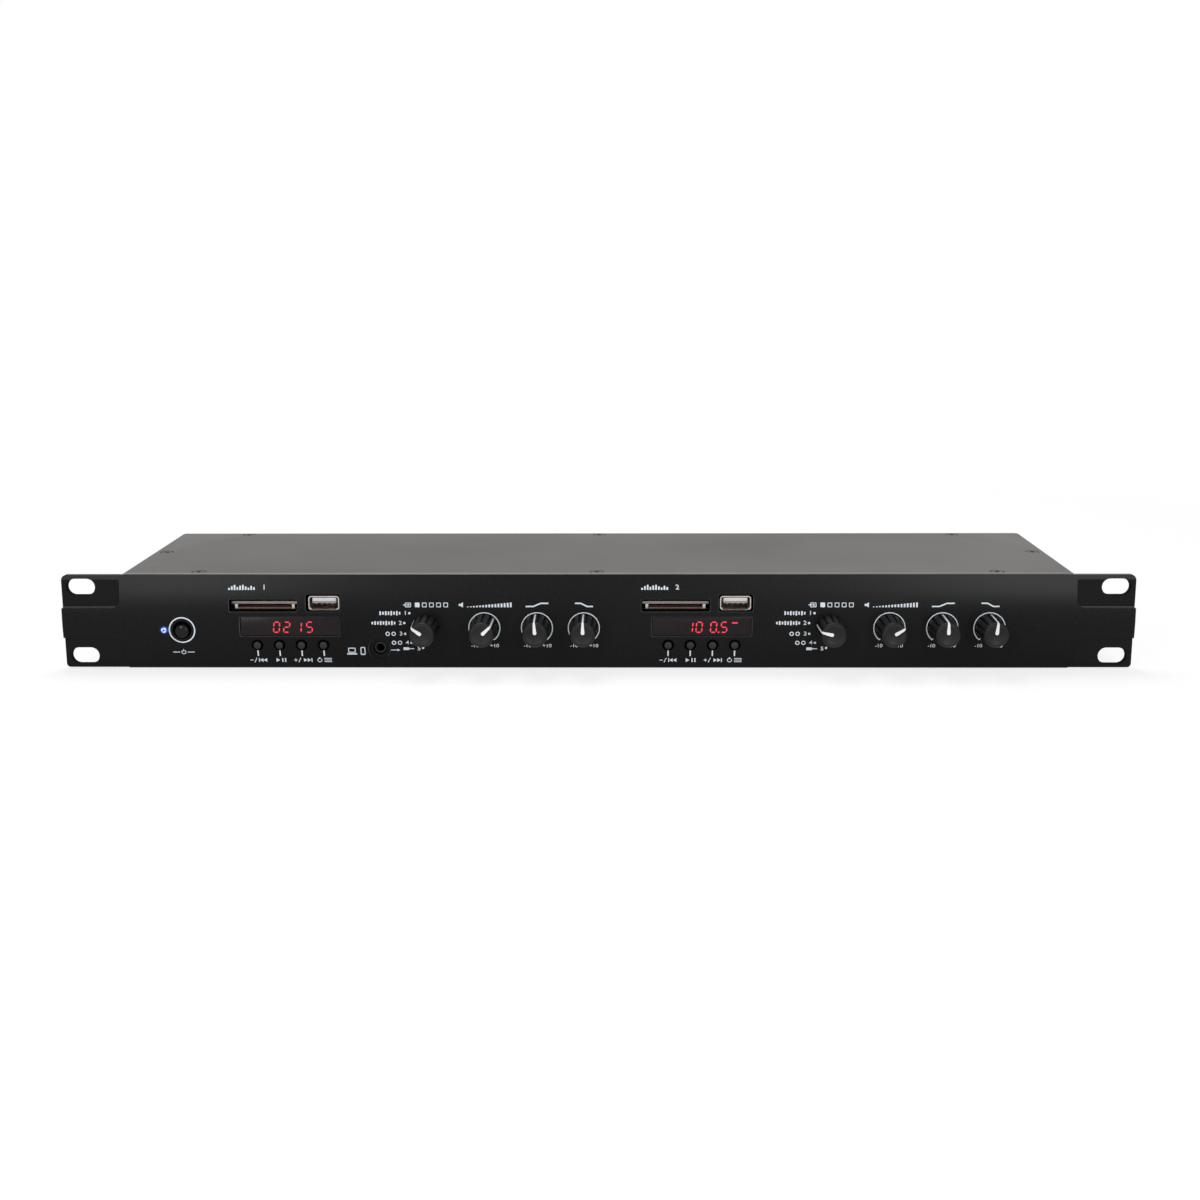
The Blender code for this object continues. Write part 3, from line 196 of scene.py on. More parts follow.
def tidy(thing):
    """Weld the seam of a spun shape and turn its faces outwards."""
    pick(thing)
    bpy.ops.object.mode_set(mode="EDIT")
    choose_all()
    bpy.ops.mesh.remove_doubles(threshold=0.000002)
    bpy.ops.mesh.normals_make_consistent(inside=False)
    done()
    return thing


# %% [markdown]
# Three starting shapes serve nearly all pieces. A block and a cylinder along Y are primitives.
# A turned piece starts from a single point, which is extruded along its profile and spun.

# %% Starting shapes


def added(operator, name, **settings):
    """Add a primitive while nothing is selected, and settle it."""
    bpy.ops.object.select_all(action="DESELECT")
    operator(**settings)
    return settled(bpy.context.object, name)


def block(low, high, name="block"):
    centre = [(a + b) / 2 for a, b in zip(low, high)]
    size = [b - a for a, b in zip(low, high)]
    return added(bpy.ops.mesh.primitive_cube_add, name, size=1, location=centre, scale=size)


def cylinder(radius, front, back, x, z, steps=48, name="cylinder"):
    return added(bpy.ops.mesh.primitive_cylinder_add, name, vertices=steps, radius=radius,
                 depth=back - front, location=(x, (front + back) / 2, z),
                 rotation=(math.pi / 2, 0.0, 0.0))


def frustum(front_radius, back_radius, half, steps):
    """A cone's slice along Y, with its middle at the origin."""
    return added(bpy.ops.mesh.primitive_cone_add, "frustum", vertices=steps,
                 radius1=front_radius, radius2=back_radius, depth=2 * half,
                 rotation=(-math.pi / 2, 0.0, 0.0))


def point(x, y, z, name="point"):
    """A mesh of one vertex: a small plane merged at its centre."""
    made = added(bpy.ops.mesh.primitive_plane_add, name, size=0.001, location=(x, y, z))
    shaping(made, "VERT")
    choose_all()
    bpy.ops.mesh.merge(type="CENTER")
    return made


def turned(profile, x, z, steps=48, name="turned"):
    """A profile of (radius, y) points spun about the line along Y through x, z."""
    made = point(x + profile[0][0], profile[0][1], z, name)
    for (radius, y), (next_radius, next_y) in zip(profile, profile[1:]):
        step = (next_radius - radius, next_y - y, 0.0)
        bpy.ops.mesh.extrude_vertices_move(TRANSFORM_OT_translate={"value": step})
    choose_all()
    bpy.ops.mesh.spin(steps=steps, angle=2 * math.pi, center=(x, 0.0, z), axis=(0.0, 1.0, 0.0))
    done()
    return tidy(made)


def carved(thing, tools, operation="DIFFERENCE"):
    """Cut tools out of a thing, add them to it, or keep what they share with it."""
    tool = joined(tools, "tool")
    modifier = thing.modifiers.new("carve", "BOOLEAN")
    modifier.object = tool
    modifier.operation = operation
    modifier.solver = "EXACT"
    pick(thing)
    bpy.ops.object.modifier_apply(modifier="carve")
    discard(tool)
    return thing


# %% [markdown]
# ## Materials
#
# Colours are written as the eye sees them on a screen and turned linear by one function. One
# more function adds a node with its settings and links. Every pattern reads Object coordinates,
# which here are real metres, so its scale follows from a real size: a grain of 0.3 mm is a
# noise scale of about 1 / 0.0003.

# %% Colour and nodes


def colour(code):
    """An sRGB hex colour as the linear values that Blender mixes."""
    values = [int(code[i:i + 2], 16) / 255 for i in (1, 3, 5)]
    linear = [v / 12.92 if v <= 0.04045 else ((v + 0.055) / 1.055) ** 2.4 for v in values]
    return (*linear, 1.0)


def add_node(tree, kind, links=None, **settings):
    """Add a node. Settings are its properties, links its sockets' values or sources."""
    made = tree.nodes.new(kind)
    for setting, value in settings.items():
        setattr(made, setting, value)
    for socket, value in (links or {}).items():
        if isinstance(value, bpy.types.NodeSocket):
            tree.links.new(value, made.inputs[socket])
        else:
            made.inputs[socket].default_value = value
    return made


def new_material(name, base, roughness, metallic=0.0, **constants):
    """A material with one Principled shader whose plain values sit on its own sockets."""
    made = bpy.data.materials.new(name)
    made.use_nodes = True
    shader = made.node_tree.nodes["Principled BSDF"]
    shader.inputs["Base Color"].default_value = colour(base)
    shader.inputs["Roughness"].default_value = roughness
    shader.inputs["Metallic"].default_value = metallic
    for socket, value in constants.items():
        shader.inputs[socket.replace("_", " ")].default_value = value
    return made, made.node_tree, shader


def dress(thing, material):
    """Give a piece its material in every slot."""
    thing.data.materials.clear()
    thing.data.materials.append(material)
    return thing


def share_out(thing, materials, choice):
    """Give a piece several finishes, and each face the one whose number the choice gives."""
    dress(thing, materials[0])
    for material in materials[1:]:
        thing.data.materials.append(material)
    for face in thing.data.polygons:
        face.material_index = int(choice(face))
    return thing


# %% [markdown]
# Most finishes here are a base colour that wanders a little and a surface with a fine grain.
# So one function lays that on any shader: a noise at the grain's real size drives both the
# bump and a mix between two near colours, and a broader noise makes the tone drift.

# %% Grain


def lay_grain(tree, shader, dark, light, grain, drift=0.01, depth=0.00001, strength=0.2,
              sheen=None, cloud=0.4):
    place = add_node(tree, "ShaderNodeTexCoord").outputs["Object"]
    fine, broad = [add_node(tree, "ShaderNodeTexNoise", {"Vector": place, "Scale": 1 / size,
                                                         "Detail": detail}).outputs["Fac"]
                   for size, detail in ((grain, 2.0), (drift, 3.0))]
    blend = add_node(tree, "ShaderNodeMix", {0: cloud, 2: fine, 3: broad}, data_type="FLOAT")
    span = add_node(tree, "ShaderNodeMapRange", {"Value": blend.outputs[0], "From Min": 0.35,
                                                 "From Max": 0.65})
    mix = add_node(tree, "ShaderNodeMix", {0: span.outputs[0], 6: colour(dark),
                                           7: colour(light)}, data_type="RGBA")
    tree.links.new(mix.outputs[2], shader.inputs["Base Color"])
    bump = add_node(tree, "ShaderNodeBump", {"Height": fine, "Strength": strength,
                                             "Distance": depth})
    tree.links.new(bump.outputs["Normal"], shader.inputs["Normal"])
    if sheen:
        spread = add_node(tree, "ShaderNodeMapRange", {"Value": fine, "To Min": sheen[0],
                                                       "To Max": sheen[1]})
        tree.links.new(spread.outputs[0], shader.inputs["Roughness"])
    return place


def grained(name, base, roughness, dark, light, grain, metallic=0.0, drift=0.01,
            depth=0.00001, strength=0.2, sheen=None, cloud=0.4, **constants):
    """A whole material of that kind. Sheen is the span in which its roughness varies."""
    made, tree, shader = new_material(name, base, roughness, metallic, **constants)
    lay_grain(tree, shader, dark, light, grain, drift, depth, strength, sheen, cloud)
    return made


# %% [markdown]
# ## The camera
#
# The photograph was taken from a little above and a little right of the middle. A camera was
# fitted to the rack slots, whose spacing is a standard, and these are the numbers it gave. The
# picture is taken to be square, so the sensor is too.

# %% Camera
CAMERA_PLACE = Vector((0.01106, -0.772867, 0.18525))
PITCH = math.radians(12.081)
YAW = math.radians(-0.752)
ROLL = math.radians(0.165)
FOCAL_LENGTH = 49.27
PICTURE_SHIFT = 0.001875

ahead = Vector((math.sin(YAW) * math.cos(PITCH), math.cos(YAW) * math.cos(PITCH),
                -math.sin(PITCH)))
level = Vector((math.cos(YAW), -math.sin(YAW), 0.0))
down = ahead.cross(level)
right = math.cos(ROLL) * level + math.sin(ROLL) * down
down = -math.sin(ROLL) * level + math.cos(ROLL) * down

bpy.ops.object.camera_add()
camera = bpy.context.object
camera.name = "camera"
camera.matrix_world = Matrix((
    (right.x, -down.x, -ahead.x, CAMERA_PLACE.x),
    (right.y, -down.y, -ahead.y, CAMERA_PLACE.y),
    (right.z, -down.z, -ahead.z, CAMERA_PLACE.z),
    (0.0, 0.0, 0.0, 1.0)))
camera.data.sensor_fit = "HORIZONTAL"
camera.data.sensor_width = 36.0
camera.data.lens = FOCAL_LENGTH
camera.data.shift_y = PICTURE_SHIFT
bpy.context.scene.camera = camera
print("camera stands", round(-CAMERA_PLACE.y, 3), "m in front")

# %% [markdown]
# ## Sizes that come from the CAD model
#
# The panel's rear face and its middle height place nearly everything. The face is a shallow
# cylinder, so one function gives how far forward it stands at any height. The players, the
# dials and the rest are read from the boxes of their CAD nodes.

# %% Places


def corners(node):
    """The low and the high corner of a CAD node's box."""
    return [Vector(corner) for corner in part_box(node)]


panel_low, panel_high = corners("front_panel")
BACK = panel_high.y
MIDDLE = (panel_low.z + panel_high.z) / 2
HEIGHT = panel_high.z - panel_low.z
WIDTH = panel_high.x - panel_low.x
CROWN_RADIUS = 0.079
CROWN_FRONT = BACK - 0.0052
EAR_THICKNESS = 0.0028
EAR_LENGTH = 0.0283
CHASSIS_HALF = WIDTH / 2 - EAR_LENGTH
SIDES = (1, 2)
CARD_RISE = 0.0077
JACK_Z = 0.00945


def crown(z):
    """How far forward the bowed face stands at a height."""
    rise = z - MIDDLE
    return CROWN_FRONT + CROWN_RADIUS - math.sqrt(CROWN_RADIUS ** 2 - rise ** 2)


def slope(z):
    """How far the bowed face leans back at a height."""
    return math.asin((z - MIDDLE) / CROWN_RADIUS)


def middle_of(node):
    low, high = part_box(node)
    return Vector([(a + b) / 2 for a, b in zip(low, high)])


dials = {(kind, side): middle_of(f"{kind}_shaft_{side}")
         for kind in ("source", "volume", "treble", "bass") for side in SIDES}
player_x = {side: middle_of(f"display_window_{side}").x for side in SIDES}
display_z = middle_of("display_window_1").z
card_z = MIDDLE + CARD_RISE
usb_middle = {side: middle_of(f"usb_shell_{side}") for side in SIDES}
card_x = {side: middle_of(f"card_socket_{side}").x for side in SIDES}
button_middle = {(side, n): middle_of(f"transport_button_{side}_{n}") for side in SIDES
                 for n in (1, 2, 3, 4)}
power, lamp, jack = (middle_of(node) for node in ("power_button", "power_lamp", "jack_socket"))
jack.z = JACK_Z
print("players at", {s: round(x * 1000, 1) for s, x in player_x.items()}, "mm")

# %% [markdown]
# ## Front panel
#
# The real panel is an aluminium extrusion with a bowed face, whose corners are milled back to
# flat pockets for the rack screws. It could be a subdivided plane that is bent, but an exact
# arc is easier: one point is spun about the far axis of the bow, the arc is drawn back and
# flattened, and that section is extruded along the whole width. Sixty steps keep the gloss
# even. A copy stays aside, uncut, as the surface that the printing is laid on later.

# %% Extrude the bowed section
BOW_STEPS = 60
half_angle = math.asin(HEIGHT / 2 / CROWN_RADIUS)
axis_y = CROWN_FRONT + CROWN_RADIUS

panel = point(-WIDTH / 2, axis_y - CROWN_RADIUS * math.cos(half_angle), MIDDLE - HEIGHT / 2,
              "front_panel_dressed")
bpy.ops.mesh.spin(steps=BOW_STEPS, angle=2 * half_angle, center=(0.0, axis_y, MIDDLE),
                  axis=(1.0, 0.0, 0.0))
choose_all()
print("bow points:", len(bmesh.from_edit_mesh(panel.data).verts))
drawn(0.0, 0.004, 0.0)
bpy.ops.transform.resize(value=(1.0, 0.0, 1.0), center_override=(0.0, BACK, 0.0))
choose_all()
drawn(WIDTH, 0.0, 0.0)
done()
tidy(panel)
bow_guide = placed_copy(panel, "bow_guide", (0.0, 0.0, 0.0))
print("bowed section:", [round(v * 1000, 2) for v in panel.dimensions], "mm")

# %% [markdown]
# The long top and bottom edges are broken by a small chamfer, which catches a thin line of
# light in the photograph. The ears are a little lower than the panel between them and have
# rounded corners. A silhouette with that outline keeps only what lies inside it.

# %% Edges and ears
EAR_RELIEF = 0.0004
OVER = 0.002
FRONT = BACK - 0.009


def long_front_edge(middle, along):
    return runs_along(0)(middle, along) and middle.y < BACK - 0.001 and \
        abs(abs(middle.z - MIDDLE) - HEIGHT / 2) < 0.00001


round_edges(panel, 0.0003, 1, long_front_edge)
silhouette = block((-WIDTH / 2, BACK - 0.008, panel_low.z + EAR_RELIEF),
                   (WIDTH / 2, BACK + OVER, panel_high.z - EAR_RELIEF), "silhouette")
round_edges(silhouette, 0.0024, 8, lambda m, a: runs_along(1)(m, a) and m.z > MIDDLE)
round_edges(silhouette, 0.0016, 8, lambda m, a: runs_along(1)(m, a) and m.z < MIDDLE)
carved(silhouette, [block((-CHASSIS_HALF, FRONT, panel_low.z - OVER),
                          (CHASSIS_HALF, BACK + 2 * OVER, panel_high.z + OVER))], "UNION")
carved(panel, [silhouette], "INTERSECT")
print("panel faces:", len(panel.data.polygons))

# %% [markdown]
# Each corner is milled back to a flat pocket floor with one rounded inner corner. The tongue
# left between the pockets sits a little low, as in the photograph. The pockets come before the
# rack slots, so that the slots' broken edges lie on the flat floors.

# %% Corner pockets
POCKET_LENGTH = 0.0263
POCKET_CORNER = 0.004
POCKET_FILLET = 0.0005
TONGUE_EDGE = {1: 0.0065, -1: 0.00725}
FLOOR = BACK - EAR_THICKNESS


def pocket(side, level):
    inner_x = side * (WIDTH / 2 - POCKET_LENGTH)
    outer_x = side * (WIDTH / 2 + OVER)
    inner_z = MIDDLE + level * TONGUE_EDGE[level]
    outer_z = MIDDLE + level * (HEIGHT / 2 + OVER)
    tool = block((min(inner_x, outer_x), FRONT, min(inner_z, outer_z)),
                 (max(inner_x, outer_x), FLOOR, max(inner_z, outer_z)), "pocket")

    def inner_corner(middle, along):
        return runs_along(1)(middle, along) and abs(middle.x - inner_x) < 0.0001 \
            and abs(middle.z - inner_z) < 0.0001

    round_edges(tool, POCKET_CORNER, 8, inner_corner)

    def floor_edge(middle, along):
        return abs(middle.y - FLOOR) < 0.00001 and abs(along.y) < 0.00001 and \
            abs(middle.x - outer_x) > 0.0005 and abs(middle.z - outer_z) > 0.0005

    return round_edges(tool, POCKET_FILLET, 8, floor_edge)


carved(panel, [pocket(side, level) for side in (-1, 1) for level in (-1, 1)])
print("pocket floors at", round((FLOOR - BACK) * 1000, 2), "mm from the rear face")

# %% [markdown]
# Every opening is cut square to the rear face, with a straight tool. A second, flared tool
# then breaks its rim. It stands square to the bow at that height, so the chamfer is equally
# wide all round, and light catches it as on the real milled edge.

# %% Openings


def slot_tool(x, z, width, height, radius, front, back, steps=8):
    """A straight tool with rounded corners, or with round ends when the radius is half."""
    tool = block((x - width / 2, front, z - height / 2), (x + width / 2, back, z + height / 2))
    return round_edges(tool, min(radius, height / 2 - 0.00001), steps, runs_along(1))


def rim_tool(x, z, width, height, radius, surface, edge, tilt, steps=8):
    """The same outline flared towards the viewer, about the surface that it meets."""
    tool = block((-width / 2, -edge, -height / 2), (width / 2, edge, height / 2))
    round_edges(tool, min(radius, height / 2 - 0.00001), steps, runs_along(1))
    shaping(tool, "VERT")
    choose(tool, "VERT", lambda place: place.y < 0)
    bpy.ops.transform.resize(value=(1 + 4 * edge / width, 1.0, 1 + 4 * edge / height),
                             center_override=(0.0, -edge, 0.0))
    done()
    tool.rotation_euler = (-tilt, 0.0, 0.0)
    tool.location = (x, surface, z)
    return settled(tool)


RIM = 0.0002
SLOT_INSET = 0.00875
SLOT_RISE = HEIGHT / 2 - 0.005875
RACK_SLOT = (0.0127, 0.0075, 0.00375)
straight = []
rims = []


def open_slot(x, z, width, height, radius, edge=RIM):
    straight.append(slot_tool(x, z, width, height, radius, FRONT, BACK + OVER))
    rims.append(rim_tool(x, z, width, height, radius, crown(z), edge, slope(z)))


def round_rim(place, radius, edge=RIM, steps=64):
    tool = frustum(radius + 2 * edge, radius, edge, steps)
    tool.rotation_euler = (-slope(place.z), 0.0, 0.0)
    tool.location = (place.x, crown(place.z), place.z)
    rims.append(settled(tool))


def open_round(place, radius, edge=RIM, steps=64):
    straight.append(cylinder(radius, FRONT, BACK + OVER, place.x, place.z, steps))
    round_rim(place, radius, edge, steps)


for side in (-1, 1):
    for level in (-1, 1):
        x, z = side * (WIDTH / 2 - SLOT_INSET), MIDDLE + level * SLOT_RISE
        straight.append(slot_tool(x, z, *RACK_SLOT, FRONT, BACK + OVER, 12))
        rims.append(rim_tool(x, z, *RACK_SLOT, FLOOR, RIM, 0.0, 12))
for side in SIDES:
    open_slot(card_x[side], card_z, 0.0308, 0.0056, 0.0007)
    open_slot(usb_middle[side].x, usb_middle[side].z, 0.0156, 0.0079, 0.001)
    open_slot(player_x[side], display_z, 0.045, 0.0092, 0.001, 0.00025)
for place in button_middle.values():
    open_round(place, 0.0026, 0.00015, 48)
open_round(power, 0.0041)
open_round(lamp, 0.002, 0.0001, 48)
for place in dials.values():
    open_round(place, 0.005)

# %% [markdown]
# The jack has a round spot face milled into the bow, and its hole goes through that.

# %% Jack spot face and the cuts
SPOT_RADIUS = 0.0049
SPOT_DEPTH = 0.0017
carved(panel, [cylinder(SPOT_RADIUS, FRONT, crown(jack.z) + SPOT_DEPTH, jack.x, jack.z, 64)])
round_rim(jack, SPOT_RADIUS)
straight.append(cylinder(0.00305, FRONT, BACK + OVER, jack.x, jack.z, 64))
print("openings:", len(straight), "rims:", len(rims))
carved(panel, straight)
carved(panel, rims)
smooth(panel, 12)
check = bmesh.new()
check.from_mesh(panel.data)
open_edges = sum(not edge.is_manifold for edge in check.edges)
print("panel faces:", len(check.faces), "open edges:", open_edges)
check.free()

# %% [markdown]
# The coat is black anodising over a fine blasted grain: nearly black, and dull because the dye
# swallows most light. The real pits are about 0.2 mm wide, which is too fine to show from this
# far, so they are drawn at 0.7 mm. The aluminium is covered by dyed oxide, so to the eye it is
# no bare metal. The broken edges, the top edge and the upward walls of the pockets get a second,
# lighter copy of the coat: a painted highlight where they catch the light. The walls of the
# openings, the rack slots and the chamfers round the buttons and the jack get a third, near
# black and duller: a painted shade.

# %% Black anodised aluminium
anodised = grained("black_anodised_aluminium", "#101011", 0.3, "#0b0b0c", "#151516", 0.0007,
                   drift=0.09, depth=0.00003, strength=0.4, sheen=(0.24, 0.36),
                   Specular_IOR_Level=0.08)
# Painted highlight: a lighter copy of the coat, for the edges that catch the light.
edge_highlight_finish = grained("painted_highlight_anodised_edge", "#3c3c3e", 0.3, "#343436", "#444446", 0.0004, drift=0.03,
                 depth=0.000006, Specular_IOR_Level=0.5)
# Painted shade: a near black, duller copy of the coat, for the bores and the walls of openings.
bore_shade_finish = grained("painted_shade_anodised_bore", "#060606", 0.8, "#040404", "#080808", 0.0005, drift=0.02,
                Specular_IOR_Level=0.05)


def panel_finish(face):
    """0 for the grained face, 1 for a painted highlight on edges, 2 for painted shade in bores."""
    place, rise = face.center, abs(face.center.z - MIDDLE)
    aside = abs(place.x) - WIDTH / 2
    on_ear = aside > -POCKET_LENGTH - 0.001
    on_top = face.normal.z > 0.9 and place.z > panel_high.z - 0.0001
    broken = -0.93 < face.normal.y < -0.35
    at_button = any(math.hypot(place.x - spot.x, place.z - spot.z) < 0.0046
                    for spot in (*button_middle.values(), power, jack))
    pocket_wall = on_ear and abs(rise - TONGUE_EDGE[1]) < 0.0006 and face.normal.z > 0.3
    in_slot = abs(aside + SLOT_INSET) < 0.0068 and abs(rise - SLOT_RISE) < 0.0042
    side_wall = abs(face.normal.y) < 0.1 and not on_ear and rise < HEIGHT / 2 - 0.001
    if on_top or pocket_wall or (broken and not on_ear and not at_button):
        return 1
    return 2 * (side_wall or (broken and at_button) or (in_slot and abs(face.normal.y) < 0.95))


share_out(panel, (anodised, edge_highlight_finish, bore_shade_finish), panel_finish)
print("milled edges and bores:",
      [sum(face.material_index == n for face in panel.data.polygons) for n in (1, 2)], "faces")
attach(panel, "player")
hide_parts("front_panel")

# %% [markdown]
# ## Printing
#
# The marks are screen printed: a thin flat layer of pale ink. Each mark starts as a flat shape
# in front of the panel. Shrinkwrap then projects it onto the bow, and Solidify gives the ink a
# few hundredths of a millimetre. Words and names have no place on a shared part, so their
# places hold plain symbols and numbers of the same size.

# %% Flat marks
INK = 0.00004
SHEET_Y = FRONT


def facing(thing):
    """Turn a flat mark's faces towards the viewer."""
    if thing.data.polygons[0].normal.y > 0:
        shaping(thing, "FACE")
        choose_all()
        bpy.ops.mesh.flip_normals()
        done()
    return thing


def bar(x, z, width, height, turn=0.0, corner=0.0):
    """A rectangle, turned clockwise by a number of degrees."""
    bpy.ops.object.select_all(action="DESELECT")
    bpy.ops.mesh.primitive_plane_add(size=1, location=(x, SHEET_Y, z),
                                     rotation=(math.pi / 2, math.radians(turn), 0.0))
    made = bpy.context.object
    made.scale = (width, height, 1.0)
    settled(made)
    if corner:
        shaping(made, "VERT")
        choose_all()
        bpy.ops.mesh.bevel(offset=corner, segments=4, affect="VERTICES")
        done()
    return made


def dot(x, z, radius, steps=32, turn=0.0):
    """A disc, or with three steps a triangle whose tip points up before its turn."""
    bpy.ops.object.select_all(action="DESELECT")
    bpy.ops.mesh.primitive_circle_add(vertices=steps, radius=radius, fill_type="NGON",
                                      location=(x, SHEET_Y, z),
                                      rotation=(math.pi / 2, math.radians(turn), 0.0))
    return settled(bpy.context.object)


def band(x, z, inner, outer, start=0.0, end=360.0, steps=96):
    """A ring, or an arc of one, from a start to an end angle clockwise from the top."""
    angle = math.radians(start)
    made = point(x + inner * math.sin(angle), SHEET_Y, z + inner * math.cos(angle))
    bpy.ops.mesh.spin(steps=steps, angle=math.radians(end - start), center=(x, SHEET_Y, z),
                      axis=(0.0, -1.0, 0.0))
    choose_all()
    drawn(0.0, 0.0, 0.0)
    grow = outer / inner
    bpy.ops.transform.resize(value=(grow, 1.0, grow), center_override=(x, SHEET_Y, z))
    choose_all()
    bpy.ops.mesh.remove_doubles(threshold=0.000001)
    done()
    return facing(made)


def outline(x, z, width, height, line, corner):
    """A rounded frame: a rectangle whose middle is inset and taken out."""
    made = bar(x, z, width, height, corner=corner)
    shaping(made, "FACE")
    choose_all()
    bpy.ops.mesh.inset(thickness=line)
    bpy.ops.mesh.delete(type="FACE")
    done()
    return made


def number(text, x, z, height, lean=0.0):
    """Plain digits or signs, made a mesh before they are sized and placed."""
    bpy.ops.object.select_all(action="DESELECT")
    bpy.ops.object.text_add()
    made = bpy.context.object
    made.data.body = text
    made.data.align_x = "CENTER"
    made.data.align_y = "CENTER"
    made.data.resolution_u = 4
    made.data.offset = 0.02
    bpy.ops.object.convert(target="MESH")
    made = bpy.context.object
    size = height / made.dimensions.y if text not in "-+" else height
    made.scale = (size * 1.15, size, size)
    made.rotation_euler = (math.pi / 2, math.radians(lean), 0.0)
    made.location = (x, SHEET_Y, z)
    return facing(settled(made))


# %% [markdown]
# A printed group is wrapped onto the bow in one go. The projection runs along +Y from the flat
# marks, so their widths stay as drawn.

# %% Lay the ink
ink = grained("screen_printed_ink", "#a8b1b9", 0.55, "#bcc5cd", "#d0d8df", 0.00015,
              depth=0.000004)


def printed(marks, name):
    """Wrap flat marks onto the bow and give the ink its thickness."""
    whole = joined(marks, name)
    wrap = whole.modifiers.new("wrap", "SHRINKWRAP")
    wrap.target = bow_guide
    wrap.wrap_method = "PROJECT"
    wrap.use_project_y = True
    wrap.use_positive_direction = True
    wrap.use_negative_direction = False
    layer = whole.modifiers.new("layer", "SOLIDIFY")
    layer.thickness = INK
    layer.offset = 0.5
    pick(whole)
    bpy.ops.object.modifier_apply(modifier="wrap")
    bpy.ops.object.modifier_apply(modifier="layer")
    dress(whole, ink)
    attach(whole, "player")
    print(name, len(whole.data.polygons), "faces")
    return whole


# %% [markdown]
# Round the power button runs a ring, and under it stands the sign for standby: a circle open
# at the top with a bar in it, between two short rules.

# %% Power marks
sign_z = 0.0078
marks = [band(power.x, power.z, 0.00545, 0.0060),
         band(power.x, sign_z, 0.00078, 0.00108, 35, 325, 32),
         bar(power.x, sign_z + 0.0008, 0.0003, 0.0012)]
for way in (-1, 1):
    marks.append(bar(power.x + way * 0.0033, sign_z, 0.0032, 0.00034))
printed(marks, "print_power")

# %% [markdown]
# Each transport button has a short rule under it and a sign: back, play and pause, forward,
# and a loop with three rules for the mode. Triangles are circles of three points.

# %% Player marks
SIGN_Z = 0.0039
LINE = 0.00034
LETTER_PITCH = 0.00125


def skip_signs(x, way):
    """A minus or plus, a slash, and two arrow heads with a stop bar, towards way."""
    lead = x - 0.0031
    marks = [bar(lead, SIGN_Z, 0.0014, LINE)]
    if way > 0:
        marks.append(bar(lead, SIGN_Z, LINE, 0.0014))
    marks.append(bar(lead + 0.0018, SIGN_Z, LINE, 0.0024, 25))
    stop = x + 0.0003 if way < 0 else x + 0.0042
    marks.append(bar(stop, SIGN_Z, 0.0004, 0.0019))
    first = x + 0.0016 if way < 0 else x + 0.0011
    for step in (0, 1):
        marks.append(dot(first + step * 0.0017, SIGN_Z, 0.00105, 3, 90 * way))
    return marks


def play_signs(x):
    marks = [dot(x - 0.0014, SIGN_Z, 0.0011, 3, 90)]
    for step in (0, 1):
        marks.append(bar(x + 0.0009 + step * 0.0013, SIGN_Z, 0.00055, 0.0019))
    return marks


def mode_signs(x):
    marks = [band(x - 0.0022, SIGN_Z, 0.00075, 0.00075 + LINE, 60, 360, 24)]
    marks.append(dot(x - 0.0022 + 0.0001, SIGN_Z + 0.0009, 0.00062, 3, 90))
    for step in (-1, 0, 1):
        marks.append(bar(x + 0.0016, SIGN_Z + step * 0.0008, 0.0034, LINE))
    return marks


for side in SIDES:
    x = player_x[side]
    first, second, third, fourth = (button_middle[side, n].x for n in (1, 2, 3, 4))
    marks = [bar(place, 0.00725, 0.0006, 0.0027) for place in (first, second, third, fourth)]
    marks += skip_signs(first, -1) + play_signs(second) + skip_signs(third, 1) + mode_signs(fourth)
    for step, height in enumerate((0.9, 1.6, 2.2, 1.3, 1.9, 2.2, 1.5, 1.0, 1.8, 1.2)):
        marks.append(bar(x - 0.0268 + step * LETTER_PITCH, 0.0365 + height * 0.0005, 0.00075,
                         height * 0.001))
    marks.append(number(str(side), x - 0.011, 0.0376, 0.0022))
    printed(marks, f"print_player_{side}")

# %% [markdown]
# The dials turn inside printed rings, open at the foot, whose ends carry a small tick and the
# numbers of the range. The selectors have five dots instead, numbered, with signs for what
# each place listens to. The signs over the dials are the usual ones: a switch row, a speaker
# with a rising wedge, and the two tone curves.

# %% Dial marks
RING = 0.007
RING_LINE = 0.00043
RING_SHIFT = 0.0002
SWEEP = 142
LABEL_Z = 0.0298


def polar(centre, radius, degrees):
    angle = math.radians(degrees)
    return centre.x + radius * math.sin(angle), centre.z + radius * math.cos(angle)


def ring_marks(centre):
    x, z = centre.x + RING_SHIFT, centre.z - RING_SHIFT
    marks = [band(x, z, RING - RING_LINE / 2, RING + RING_LINE / 2, -SWEEP, SWEEP, 80)]
    for way in (-1, 1):
        x, z = polar(centre, RING - 0.0006, way * SWEEP)
        marks.append(bar(x + RING_SHIFT, z - RING_SHIFT, 0.00045, 0.0012, way * SWEEP))
    for aside, text in ((-0.0042, "-10"), (0.0046, "+10")):
        marks.append(number(text, centre.x + aside, centre.z - 0.0086, 0.0017))
    return marks


def selector_marks(centre):
    marks = []
    for step, degrees in enumerate((-47, -77.5, -107.5, -137.5, -171.5)):
        x, z = polar(centre, 0.0097, degrees)
        marks.append(dot(x, z, 0.00055, 20))
        if step == 4:
            z -= 0.0004
        marks.append(number(str(step + 1), x - 0.0018, z, 0.0019))
        left = x - 0.0044
        if step < 2:
            for at, height in enumerate((1.2, 1.9, 1.4, 2.0, 1.5, 1.8, 1.3, 1.7, 1.1)[:8 + step]):
                marks.append(bar(left - at * LETTER_PITCH, z, 0.0007, height * 0.001))
        elif step < 4:
            for at in (left - 0.0008, left - 0.0035):
                marks.append(band(at, z, 0.0006, 0.00098, steps=24))
        else:
            marks.append(bar(left - 0.0008, z, 0.0024, 0.0004))
            marks.append(bar(left - 0.0032, z, 0.0026, 0.0013, corner=0.0003))
    return marks


